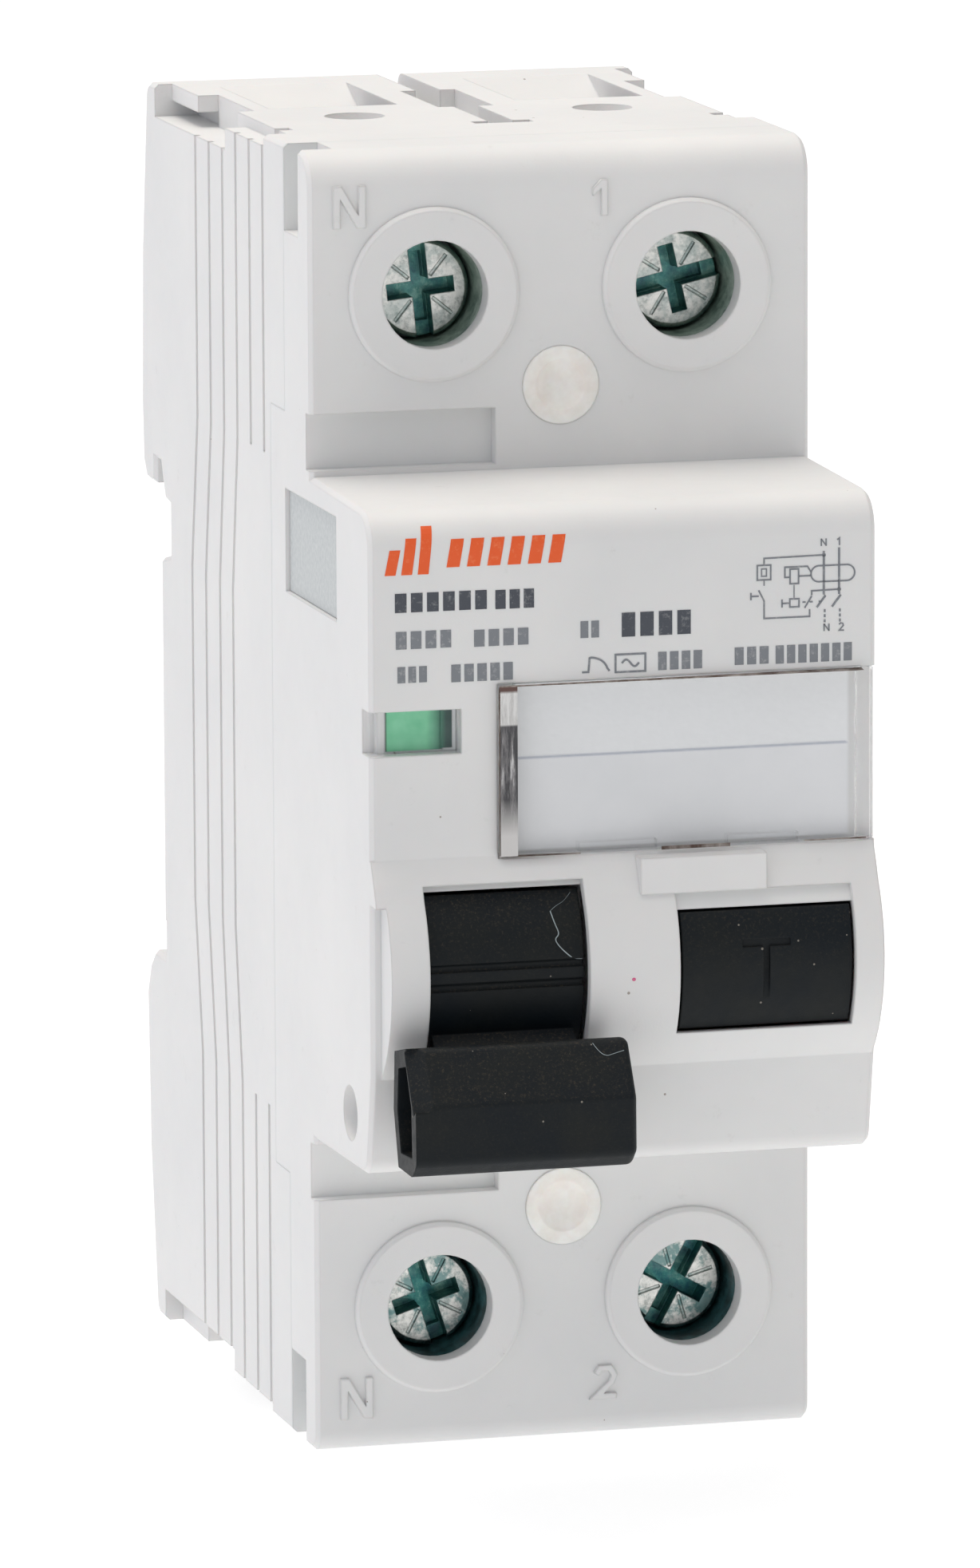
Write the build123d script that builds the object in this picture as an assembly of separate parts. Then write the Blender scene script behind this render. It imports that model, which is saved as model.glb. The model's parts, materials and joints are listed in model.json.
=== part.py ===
"""Two-pole residual current device for a 35 mm rail, switched off, as an assembly of separate pieces.

Millimetres.  X runs to the right seen from the front, +Y to the rail at the back, +Z up.
The origin is the middle of the flat face that rests on the rail.
"""
from build123d import *
from math import cos, sin, radians
import os

# ---------------------------------------------------------------- driving dimensions
HALF_W = 17.8            # half width: two modules of the rail system
HALF_H = 45.3            # half height
SHOULDER_Y = -43.8       # front of the terminal shoulders
NOSE_Y = -59.65          # front of the nose
NOSE_LOW_Y = -58.3       # front of the nose at its lower edge
NOSE_H = 22.75           # half height of the nose at its front
NOSE_ROOT_H = 23.1       # half height of the nose at the shoulders
SEAM_IN_Y = -32.8        # joint of base and cover beside the mechanism
SEAM_OUT_Y = -36.8       # joint of base and cover beside the terminals
SEAM_STEP_Z = 26.8       # where the joint steps
WALL = 1.3               # moulded wall
IN_W = HALF_W - WALL     # half width inside
ROOM_H = 29.0            # half height of the mechanism room
FLOOR_Y = -4.5           # its floor, the back wall's inner face
FOOT_Y = 5.6             # back of the feet

LAND_LOW_Z = -15.4       # lower edge of the land that rests on the rail
LAND_H = 0.3             # its height
HOOK_Y = 1.9             # front of the hook's tooth
HOOK_TIP_Z = 16.3
EDGE = 0.3               # broken edges of the mouldings
NOTCH_Z = 43.0           # floor of the notches in the ends of the base

POLE_X = 9.0             # a pole is one module wide
TERM_Z = 35.4            # terminal screws
TERM_HALF_X = 5.5        # terminal chamber
TERM_Z0, TERM_Z1 = 30.4, 43.0
WELL_R = 3.75            # screwdriver well
WELL_RING_R = 6.03
WELL_END_Y = -31.2
BAR_Y0, BAR_Y1 = -18.0, -16.5      # clamping bar, 1.5 mm thick
BAR_HALF_X = 3.0
CAGE_HALF_X = 4.9
CAGE_Z0, CAGE_Z1 = 31.0, 40.0
CAGE_Y0, CAGE_Y1 = -22.9, -5.6
SCREW_R = 2.4
SCREW_HEAD_R = 3.45
SCREW_HEAD_Y0, SCREW_HEAD_Y1 = -40.3, -37.3
SLOT_LEAN = {(-1, 1): 6, (1, 1): 103, (-1, -1): 17.6, (1, -1): -29}   # degrees, as the screws were left
SLEEVE_R = 4.25          # metal sleeve that lines the well round the screw's head
SLEEVE_Y0, SLEEVE_Y1 = -42.7, -37.25

TOGGLE_Y, TOGGLE_Z = -52.6, -8.9   # toggle's axis, also the axis of the nose's round bulge
TOGGLE_SWING = 64.0                # degrees, off to on
BULGE_R = 9.9
BULGE_IN_R = 9.2
BULGE_X = (-17.1, 17.6)  # ends of the bulge
LEDGE = 0.35             # depth of the ledges above and below the openings in the bulge
DRUM_R = 9.0
CRANK_R = 6.0                      # toggle's crank pin

CARRIER_Y, CARRIER_Z = -10.5, 2.0  # contact carrier's axis
CARRIER_SWING = 20.0
CARRIER_CRANK_R = 18.3
SLOT_HALF = 0.95          # half width of the slot that the drive link rides in

LID_X, LID_Y = 17.1, -59.15        # upright hinge of the label cover
LABEL_X0 = -8.9
LABEL_Z0, LABEL_Z1 = -1.1, 10.9
LABEL_FLOOR_Y = -58.2

PORT_Y = (-50.9, -36.8)  # opening in the left side for an accessory
PORT_Z = (14.2, 21.4)
PORT_SEAT_X = 17.0       # where the blank in it rests

TOROID_Y = -14.9
TOROID_Z0, TOROID_Z1 = -23.4, -13.8
WIRE_R = 1.5
WIRE_X = 1.9

LEVER_Y, LEVER_Z = -40.0, -12.5    # trip lever's axis
RELAY_X0, RELAY_X1 = -15.6, -4.4
RELAY_Y0, RELAY_Y1 = -36.0, -25.2
RELAY_Z0, RELAY_Z1 = -27.2, -13.9
PLUNGER_X, PLUNGER_Z = -10.0, -20.5

POST_Z = 28.8            # assembly screws
POST_END_Y = -21.0       # back of the posts that take them
PLUG_R = 2.7
GAP = 0.05               # running clearance on a shaft's radius


# ---------------------------------------------------------------- plain shapes
def block(x0, x1, y0, y1, z0, z1):
    centre = Pos((x0 + x1) / 2, (y0 + y1) / 2, (z0 + z1) / 2)
    return centre * Box(abs(x1 - x0), abs(y1 - y0), abs(z1 - z0))


def rod_x(r, x0, x1, y, z):
    return Pos((x0 + x1) / 2, y, z) * Rot(0, 90, 0) * Cylinder(r, abs(x1 - x0))


def rod_y(r, y0, y1, x, z):
    return Pos(x, (y0 + y1) / 2, z) * Rot(90, 0, 0) * Cylinder(r, abs(y1 - y0))


def rod_z(r, z0, z1, x, y):
    return Pos(x, y, (z0 + z1) / 2) * Cylinder(r, abs(z1 - z0))


def prism_x(points, x0, x1):
    """A (y, z) outline pushed along X."""
    face = make_face(Polyline(*points, close=True))
    return extrude(Plane.YZ.offset(x0) * face, x1 - x0, dir=(1, 0, 0))


def prism_z(points, z0, z1):
    """An (x, y) outline pushed along Z."""
    face = make_face(Polyline(*points, close=True))
    return extrude(Plane.XY.offset(z0) * face, z1 - z0, dir=(0, 0, 1))


def prism_y(points, y0, y1):
    """An (x, z) outline pushed along Y."""
    face = make_face(Polyline(*points, close=True))
    return extrude(Plane.XZ.offset(-y1) * face, y1 - y0, dir=(0, -1, 0))


def turned_x(shape, degrees, y, z):
    """Turn a shape about a line along X, right-handed."""
    return Pos(0, y, z) * Rot(degrees, 0, 0) * Pos(0, -y, -z) * shape


def polar(y, z, r, degrees):
    """A point at an angle above straight ahead (-Y) from a centre in the YZ plane."""
    return (y - r * cos(radians(degrees)), z + r * sin(radians(degrees)))


def both_ends(shape):
    return shape + mirror(shape, Plane.XY)


def all_corners(shape):
    """The shape and its mirror images at the other three terminals."""
    ends = both_ends(shape)
    return ends + mirror(ends, Plane.YZ)


def slab(outline, seam_y, side):
    """An outline pushed across the full width, its outer edges broken except along the seam."""
    body = extrude(Plane.YZ.offset(-HALF_W) * outline, 2 * HALF_W)
    rim = []
    for face in (body.faces().sort_by(Axis.X)[0], body.faces().sort_by(Axis.X)[-1]):
        for edge in face.outer_wire().edges():
            if side * (edge.center().Y - seam_y) > 0.1 and edge.length > 1.0:
                rim.append(edge)
    return chamfer(rim, EDGE)


def wire(points, bend, r):
    path = FilletPolyline(*points, radius=bend)
    return sweep(Plane(path @ 0, z_dir=path % 0) * Circle(r), path=path)


def spring(r, wire_r, length, turns):
    """A coil along +Z from its own origin."""
    path = Helix(length / turns, length, r)
    return sweep(Plane(path @ 0, z_dir=path % 0) * Circle(wire_r), path=path)


# ---------------------------------------------------------------- base
def base_outline():
    points = [
        (SEAM_OUT_Y, HALF_H), (3.3, HALF_H), (5.1, 33.0), (FOOT_Y, 22.0), (5.3, 17.6),
        (4.3, HOOK_TIP_Z), (HOOK_Y, HOOK_TIP_Z), (HOOK_Y, 18.1), (0, 18.1), (-0.6, 16.8),
        (-1.3, 15.5), (-2.8, 15.3), (-2.8, 11.7), (0, 11.1), (0, LAND_LOW_Z), (-LAND_H, LAND_LOW_Z),
        (-LAND_H, -18.2), (3.0, -18.2),
        (4.5, -19.4), (FOOT_Y, -21.6), (5.1, -33.0), (3.3, -HALF_H), (SEAM_OUT_Y, -HALF_H),
        (SEAM_OUT_Y, -SEAM_STEP_Z), (SEAM_IN_Y, -SEAM_STEP_Z), (SEAM_IN_Y, SEAM_STEP_Z),
        (SEAM_OUT_Y, SEAM_STEP_Z),
    ]
    outline = make_face(Polyline(*points, close=True))
    round_off = [v for v in outline.vertices() if v.X > 2.5 and abs(v.Y) > 20]
    return fillet(round_off, 1.2)


def entry_ports():
    """Cable entry through the top wall of the right pole, with a ramp behind it and a round dimple in front."""
    port = block(POLE_X - 4.65, POLE_X + 4.65, -16.5, -7.0, TERM_Z1 - 1, HALF_H + 1)
    ramp = prism_x([(-7.5, TERM_Z1), (-1.8, HALF_H + 0.1), (-7.5, HALF_H + 0.1)], POLE_X - 4.65, POLE_X + 4.65)
    dish = rod_z(2.1, HALF_H - 0.8, HALF_H + 1, POLE_X, -22.5)
    nick = block(POLE_X - 2.0, POLE_X + 2.0, 2.6, FOOT_Y, HALF_H - 0.5, HALF_H + 1)
    return port + ramp + dish + nick


def end_slots():
    """Slots between the poles and notches beside them in the top face, stepped in plan."""
    half = []
    for inner, y0, y1 in ((0.9, -8.5, 9), (2.0, -19.0, -8.5), (0.9, -28.7, -19.0), (2.1, -29.4, -28.2)):
        half.append(block(0, inner, y0, y1, NOTCH_Z, HALF_H + 1))
    half.append(block(16.5, HALF_W + 1, -7.0, 0.8, NOTCH_Z, HALF_H + 1))
    half.append(block(14.6, 16.6, -7.1, 0.8, NOTCH_Z, HALF_H - 1.2))
    half.append(block(15.0, HALF_W + 1, -17.5, -7.0, NOTCH_Z, HALF_H + 1))
    half.append(block(16.2, HALF_W + 1, -20.2, -17.5, NOTCH_Z, HALF_H + 1))
    half.append(block(16.2, HALF_W + 1, -31.3, -20.2, HALF_H - 0.8, HALF_H + 1))
    half.append(block(15.2, HALF_W + 1, -29.4, -28.2, HALF_H - 0.8, HALF_H + 1))
    return half


def side_grooves():
    """Fine shadow lines in both side faces; the first four run past the middle, set back."""
    cut = []
    for y, shift in ((-11.4, 1.95), (-15.4, 1.85), (-19.3, 1.6), (-23.2, 1.7)):
        line = Polyline((y, HALF_H + 1), (y, 23), (y + shift, 12), (y + shift, -12), (y, -23), (y, -HALF_H - 1))
        cut.append(line)
    for y in (-27.1, -30.9):
        cut.append(Line((y, HALF_H + 1), (y, 23.1)))
        cut.append(Line((y, -HALF_H - 1), (y, -23.1)))
    grooves = []
    for line in cut:
        ribbon = trace(line, 0.55)
        grooves.append(extrude(Plane.YZ.offset(HALF_W - 0.35) * ribbon, 1, dir=(1, 0, 0)))
    return grooves


def clip_channel():
    """Guide for the rail clip in the back of the lower foot, with a pocket for its spring."""
    plate = block(-7.1, 7.1, 1.3, 2.6, -HALF_H - 1, -18.0)
    mouth = block(-6.15, 6.15, 2.4, 9, -HALF_H - 1, -18.0)
    pocket = block(-1.9, 1.9, -2.4, 1.5, -38.0, -25.8)
    return plate + mouth + pocket


def base_housing():
    body = slab(base_outline(), SEAM_IN_Y, 1)
    body -= block(-IN_W, IN_W, SEAM_OUT_Y - 1, FLOOR_Y, -ROOM_H, ROOM_H)
    half = block(POLE_X - TERM_HALF_X, POLE_X + TERM_HALF_X, SEAM_OUT_Y - 1, -5.0, TERM_Z0, TERM_Z1)
    half += entry_ports()
    half += block(POLE_X - 3.05, POLE_X + 3.05, BAR_Y0 - GAP, BAR_Y1 + GAP, ROOM_H - 1, TERM_Z0 + 1)
    body -= all_corners(half)
    for piece in end_slots() + side_grooves():
        for one in (piece, mirror(piece, Plane.YZ)):
            body -= one
            body -= mirror(one, Plane.XY)
    body -= clip_channel()
    body += both_ends(rod_y(2.0, SEAM_OUT_Y, POST_END_Y, 0, POST_Z))
    body += block(-0.6, 0.6, -28.0, FLOOR_Y + 0.5, 9.0, ROOM_H)
    body -= both_ends(rod_y(1.3, SEAM_OUT_Y - 1, POST_END_Y - 1.5, 0, POST_Z))
    body -= rod_x(1.25, -17.0, 17.0, CARRIER_Y, CARRIER_Z)
    return body


# ---------------------------------------------------------------- cover
def cover_outline():
    points = [
        (SEAM_OUT_Y, HALF_H), (SHOULDER_Y, HALF_H), (SHOULDER_Y, NOSE_ROOT_H), (NOSE_Y, NOSE_H),
        (NOSE_Y, -15.5), (NOSE_LOW_Y, -NOSE_H), (SHOULDER_Y, -NOSE_ROOT_H), (SHOULDER_Y, -HALF_H),
        (SEAM_OUT_Y, -HALF_H), (SEAM_OUT_Y, -SEAM_STEP_Z), (SEAM_IN_Y, -SEAM_STEP_Z),
        (SEAM_IN_Y, SEAM_STEP_Z), (SEAM_OUT_Y, SEAM_STEP_Z),
    ]
    outline = make_face(Polyline(*points, close=True))
    front = [v for v in outline.vertices() if v.X < SHOULDER_Y + 0.1 and abs(abs(v.Y) - NOSE_ROOT_H) > 0.01]
    outline = fillet([v for v in front if v.Y > 22], 2.6)
    front = [v for v in outline.vertices() if v.X < SHOULDER_Y + 0.1 and abs(abs(v.Y) - NOSE_ROOT_H) > 0.01]
    return fillet([v for v in front if v.Y < -22], 1.4)


def screw_well(sign_x, sign_z):
    x = sign_x * POLE_X
    z = sign_z * TERM_Z
    ring = rod_y(WELL_RING_R, SHOULDER_Y - 0.5, SHOULDER_Y + 1, x, z)
    ring = chamfer(ring.edges().filter_by(GeomType.CIRCLE).sort_by(Axis.Y)[0], 0.25)
    return ring + rod_y(4.9, SHOULDER_Y, WELL_END_Y, x, z)


def label_recess():
    """Shallow tray in the nose front for the label and its clear cover, open at the right."""
    tray = block(LABEL_X0, HALF_W + 1, NOSE_Y - 1, LABEL_FLOOR_Y, LABEL_Z0, LABEL_Z1)
    pivots = rod_z(0.4, LABEL_Z0 - 0.9, LABEL_Z1 + 0.9, LID_X, LID_Y)
    return tray + pivots


def indicator_cut():
    front = block(-HALF_W - 1, -11.4, NOSE_Y - 1, -58.35, 6.25, 9.3)
    side = block(-HALF_W - 1, -17.0, -59.0, -57.6, 6.25, 9.3)
    through = block(-16.4, -12.4, NOSE_Y, -55, 6.4, 9.15)
    return front + side + through


def shoulder_marks():
    """Raised marks beside the wells: N and N on the left pole, 1 and 2 on the right."""
    marks = []
    y = SHOULDER_Y
    for z in (40.15, -43.0):
        for x in (-16.1, -14.3):
            marks.append(block(x, x + 0.5, y - 0.25, y + 0.3, z, z + 2.9))
        slant = [(-16.1, z + 2.9), (-15.5, z + 2.9), (-13.8, z), (-14.4, z)]
        marks.append(prism_y(slant, y - 0.25, y + 0.3))
    marks.append(block(2.9, 3.35, y - 0.25, y + 0.3, 40.4, 42.9))
    marks.append(prism_y([(2.3, 42.3), (2.9, 42.9), (2.9, 42.3), (2.3, 41.8)], y - 0.25, y + 0.3))
    two = Polyline((2.3, -40.9), (2.6, -40.5), (3.3, -40.5), (3.6, -41.0), (3.4, -41.5), (2.3, -42.5), (3.75, -42.5))
    marks.append(extrude(Plane.XZ.offset(-y - 0.3) * trace(two, 0.4), 0.55, dir=(0, -1, 0)))
    return marks


def bulge():
    """Round bulge over the toggle and the test button, with a sloping lip along its top."""
    roll = rod_x(BULGE_R, *BULGE_X, TOGGLE_Y, TOGGLE_Z)
    roll &= block(-HALF_W, HALF_W, -70, NOSE_Y + 2, -17.5, 1.0)
    sill = block(0.7, 9.6, NOSE_Y - 1.65, NOSE_Y + 1, -3.8, -1.3)
    lip = [(NOSE_Y + 1, -0.9), (NOSE_Y, -0.9), (NOSE_Y - 0.85, -2.5), (NOSE_Y - 1.45, -3.9), (NOSE_Y + 1, -3.9)]
    return roll + sill + prism_x(lip, -HALF_W, BULGE_X[1])


def bulge_openings():
    """Openings for the toggle and the test button, each with a shallow ledge round it."""
    shell = rod_x(BULGE_R + 2, -HALF_W, HALF_W, TOGGLE_Y, TOGGLE_Z)
    shell -= rod_x(BULGE_R - LEDGE, -HALF_W, HALF_W, TOGGLE_Y, TOGGLE_Z)
    ledges = block(-14.4, -3.2, -70, -52, -16.0, -2.6) + block(3.15, 15.6, -70, -52, -13.45, -3.8)
    openings = block(-14.4, -3.2, -70, -52, -16.0, -3.05) + block(3.15, 15.6, -70, -52, -13.45, -4.95)
    return openings + (ledges & shell)


def cover_cavity():
    room = block(-IN_W, IN_W, -58.3, SEAM_IN_Y + 1, -21.5, 21.5)
    room -= block(LABEL_X0 - 1.3, HALF_W, -60, -56.9, LABEL_Z0 - 1.2, LABEL_Z1 + 1.2)
    room -= block(-IN_W, IN_W, -60, -57.1, -22, -15.0)
    room += block(-IN_W, IN_W, SHOULDER_Y + 1.5, SEAM_IN_Y + 1, -ROOM_H, ROOM_H)
    room += rod_x(BULGE_IN_R, -15.3, -2.7, TOGGLE_Y, TOGGLE_Z)
    room += rod_x(BULGE_IN_R, 2.2, 16.1, TOGGLE_Y, TOGGLE_Z)
    return room


def screw_bores():
    """Well, seat for the sleeve and guide for the shank, at the upper right terminal."""
    bore = rod_y(WELL_R, SHOULDER_Y - 2, SLEEVE_Y1, POLE_X, TERM_Z)
    bore += rod_y(SLEEVE_R, SLEEVE_Y0, SLEEVE_Y1, POLE_X, TERM_Z)
    return bore + rod_y(SCREW_R + GAP, SLEEVE_Y1 - 1, WELL_END_Y + 1, POLE_X, TERM_Z)


def well_sleeves():
    sleeve = rod_y(SLEEVE_R, SLEEVE_Y0, SLEEVE_Y1, POLE_X, TERM_Z)
    return all_corners(sleeve - rod_y(WELL_R, SLEEVE_Y0 - 1, SLEEVE_Y1 + 1, POLE_X, TERM_Z))


def front_cover():
    body = slab(cover_outline(), SEAM_OUT_Y, -1) + bulge()
    for sign_x in (-1, 1):
        for sign_z in (-1, 1):
            body += screw_well(sign_x, sign_z)
    body -= cover_cavity()
    chamber = block(POLE_X - TERM_HALF_X, POLE_X + TERM_HALF_X, SHOULDER_Y + 1.5, SEAM_IN_Y, TERM_Z0, TERM_Z1 + 0.6)
    chamber -= rod_y(4.9, SHOULDER_Y, WELL_END_Y, POLE_X, TERM_Z)
    body -= all_corners(chamber)
    body -= all_corners(screw_bores())
    body -= bulge_openings()
    body -= label_recess()
    body -= indicator_cut()
    body -= block(-HALF_W - 1, -PORT_SEAT_X, *PORT_Y, *PORT_Z)
    body -= block(-HALF_W, -IN_W + 0.5, PORT_Y[0] + 1, PORT_Y[1] - 1, PORT_Z[0] + 1, PORT_Z[1] - 1)
    body -= rod_x(1.9, -HALF_W - 1, -HALF_W + 1.0, -53.8, -19.25)
    body -= both_ends(block(-HALF_W - 1, -15.4, -40.9, -37.0, 39.3, HALF_H + 1))
    body -= both_ends(block(-HALF_W - 1, -4.65, SHOULDER_Y - 1, SHOULDER_Y + 1.1, 23.5, 27.4))
    body -= both_ends(rod_y(PLUG_R, SHOULDER_Y - 1, SHOULDER_Y + 1.0, 0, POST_Z))
    body += both_ends(rod_y(3.0, SHOULDER_Y + 1.0, SEAM_OUT_Y, 0, POST_Z))
    body -= both_ends(rod_y(2.5, SHOULDER_Y - 1, SHOULDER_Y + 3.2, 0, POST_Z))
    body -= both_ends(rod_y(1.6, SHOULDER_Y - 1, SEAM_OUT_Y + 1, 0, POST_Z))
    body += block(-2.7, -1.2, -57.5, -46.0, -18.0, 3.0) & cover_cavity()
    body -= rod_x(1.25, -17.0, -1.0, TOGGLE_Y, TOGGLE_Z)
    for mark in shoulder_marks():
        body += mark
    return body


def assembly_screws():
    screw = rod_y(2.3, SHOULDER_Y + 1.6, SHOULDER_Y + 3.2, 0, POST_Z)
    screw += rod_y(1.3, SHOULDER_Y + 3.2, POST_END_Y - 2, 0, POST_Z)
    screw -= block(-1.6, 1.6, SHOULDER_Y + 1, SHOULDER_Y + 2.3, POST_Z - 0.3, POST_Z + 0.3)
    return both_ends(screw)


def seal_plugs():
    plug = rod_y(PLUG_R, SHOULDER_Y - 0.1, SHOULDER_Y + 1.0, 0, POST_Z)
    plug -= Pos(0, SHOULDER_Y - 3.1, POST_Z) * Sphere(3.5)
    return both_ends(plug)


# ---------------------------------------------------------------- nose fittings
def indicator_window():
    front = block(-HALF_W + 0.05, -11.45, NOSE_Y + 0.05, -58.4, 6.3, 9.25)
    side = block(-HALF_W + 0.05, -17.05, NOSE_Y + 0.05, -57.65, 6.3, 9.25)
    return front + side


def indicator_flag():
    plate = block(-16.3, -12.5, -58.25, -57.6, 3.2, 9.2)
    stem = block(-15.4, -13.4, -57.6, -45.0, 3.6, 5.2)
    return plate + stem - block(-16.3, -12.5, -58.25, -58.0, 6.2, 9.2)


def indicator_green_field():
    return block(-16.3, -12.5, -58.25, -58.0, 6.2, 9.2)


def side_port_cover():
    """Blank that closes the opening for a side-mounted accessory."""
    plate = block(-PORT_SEAT_X - 0.5, -PORT_SEAT_X, PORT_Y[0] + GAP, PORT_Y[1] - GAP, PORT_Z[0] + GAP, PORT_Z[1] - GAP)
    back = block(
        -PORT_SEAT_X, -IN_W, PORT_Y[0] + 1 + GAP, PORT_Y[1] - 1 - GAP, PORT_Z[0] + 1 + GAP, PORT_Z[1] - 1 - GAP
    )
    return plate + back


def label_strip():
    return block(-7.3, 16.2, LABEL_FLOOR_Y - 0.2, LABEL_FLOOR_Y, LABEL_Z0 + 0.3, LABEL_Z1 - 0.3)


def label_cover():
    """Clear cover on an upright hinge at the nose's right edge; two snap tabs at its lower edge."""
    z0 = LABEL_Z0 + 0.15
    z1 = LABEL_Z1 - 0.15
    plate = block(LABEL_X0 + 0.15, LID_X, LID_Y - 0.92, LID_Y - 0.12, z0, z1)
    rim = block(LABEL_X0 + 0.15, LABEL_X0 + 1.4, LID_Y - 0.5, LABEL_FLOOR_Y - 0.1, z0, z1)
    barrel = rod_z(0.65, z0, z1, LID_X, LID_Y) + block(LID_X - 0.3, LID_X + 0.3, LID_Y - 0.9, LID_Y, z0, z1)
    pivots = rod_z(0.35, LABEL_Z0 - 0.7, LABEL_Z1 + 0.7, LID_X, LID_Y)
    tabs = block(-3.1, 2.4, LID_Y - 0.5, LABEL_FLOOR_Y - 0.4, z0, z0 + 0.6)
    tabs += block(7.4, 12.4, LID_Y - 0.5, LABEL_FLOOR_Y - 0.4, z0, z0 + 0.6)
    corner = plate.edges().filter_by(Axis.Y).sort_by(Axis.X)[:2]
    plate = fillet(corner, 0.5)
    return plate + rim + barrel + pivots + tabs


# ---------------------------------------------------------------- toggle
def sector(r0, r1, middle, half, x0, x1):
    """Part of a tube about the toggle's axis, between two angles."""
    edge0 = polar(TOGGLE_Y, TOGGLE_Z, 3 * r1, middle - half)
    edge1 = polar(TOGGLE_Y, TOGGLE_Z, 3 * r1, middle + half)
    peak = polar(TOGGLE_Y, TOGGLE_Z, 3 * r1, middle)
    wedge = prism_x([(TOGGLE_Y, TOGGLE_Z), edge0, peak, edge1], x0, x1)
    tube = rod_x(r1, x0, x1, TOGGLE_Y, TOGGLE_Z) - rod_x(r0, x0, x1, TOGGLE_Y, TOGGLE_Z)
    return tube & wedge


def handle_bar():
    outline = [
        (-62.3, -13.4), (-65.6, -12.6), (-67.9, -16.3), (-68.0, -20.2), (-66.9, -21.2),
        (-63.2, -21.2), (-62.0, -17.4),
    ]
    face = make_face(Polyline(*outline, close=True))
    face = fillet([v for v in face.vertices() if v.X < -64], 0.7)
    bar = extrude(Plane.YZ.offset(-16.9) * face, 15.5)
    bar = fillet(bar.faces().sort_by(Axis.X)[-1].outer_wire().edges(), 0.6)
    facet = Plane(origin=(-16.9, -65.6, -12.6), x_dir=(1, 0, 0), z_dir=(0, -2.3, -3.7))
    wedge = make_face(facet * Polyline((-0.2, 0.3), (1.65, 0.3), (-0.2, -0.93), close=True))
    bar -= extrude(wedge, 4.6, dir=(0, -2.3, -3.7))
    hollow = [(-63.3, -14.4), (-65.3, -13.9), (-66.7, -16.5), (-66.9, -19.9), (-63.9, -20.1), (-63.0, -17.3)]
    return bar - prism_x(hollow, -17.5, -3.0)


def toggle_lever():
    low = -TOGGLE_SWING / 2
    x0, x1 = -14.2, -3.4
    drum = sector(DRUM_R - 1.4, DRUM_R, low, 70, x0, x1)
    hub = rod_x(2.6, x0, x1, TOGGLE_Y, TOGGLE_Z)
    web = sector(0, DRUM_R - 0.7, low, 9, x0, x0 + 1.6) + sector(0, DRUM_R - 0.7, low, 9, x1 - 1.6, x1)
    for side in (x0, x1 - 1.2):
        web += sector(0, DRUM_R - 0.7, low, 60, side, side + 1.2)
    crank_at = polar(TOGGLE_Y, TOGGLE_Z, CRANK_R, low + 180)
    crank = rod_x(1.7, -12.0, -6.6, crank_at[0], crank_at[1])
    crank += prism_x([
        polar(TOGGLE_Y, TOGGLE_Z, 2.2, low + 90), polar(TOGGLE_Y, TOGGLE_Z, 2.2, low - 90),
        polar(crank_at[0], crank_at[1], 1.6, low - 90), polar(crank_at[0], crank_at[1], 1.6, low + 90),
    ], -12.0, -6.6)
    neck = prism_x([
        polar(TOGGLE_Y, TOGGLE_Z, 8.4, low + 8), polar(TOGGLE_Y, TOGGLE_Z, 9.1, low + 6),
        (-61.7, -13.75), (-63.3, -13.9), (-63.0, -16.5), polar(TOGGLE_Y, TOGGLE_Z, 9.0, low - 9),
        polar(TOGGLE_Y, TOGGLE_Z, 8.4, low - 9),
    ], -13.9, -3.9)
    body = drum + hub + web + crank + neck + handle_bar()
    for degrees in (4.8, -3.6):
        groove = polar(TOGGLE_Y, TOGGLE_Z, DRUM_R, degrees)
        body -= rod_x(0.28, x0, x1, groove[0], groove[1])
    body -= rod_x(1.25 + GAP, x0 - 1, x1 + 1, TOGGLE_Y, TOGGLE_Z)
    body -= rod_x(0.6 + GAP, -13.0, -6.0, crank_at[0], crank_at[1])
    return body


def toggle_pin():
    return rod_x(1.25, -17.0, -1.2, TOGGLE_Y, TOGGLE_Z)


def link_ends():
    """Where the link's two pins stand with the toggle off: in the toggle and in the carrier."""
    crank_at = polar(TOGGLE_Y, TOGGLE_Z, CRANK_R, 180 - TOGGLE_SWING / 2)
    slot_at = polar(CARRIER_Y, CARRIER_Z, CARRIER_CRANK_R, CARRIER_SWING / 2)
    return crank_at, slot_at


def drive_link():
    """Wire bent like a staple that ties the toggle's crank to the carrier's crank."""
    (y0, z0), (y1, z1) = link_ends()
    points = [(-11.6, y0, z0), (-5.6, y0, z0), (-5.6, y1, z1), (-11.4, y1, z1)]
    return wire(points, 0.9, 0.6)


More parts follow.
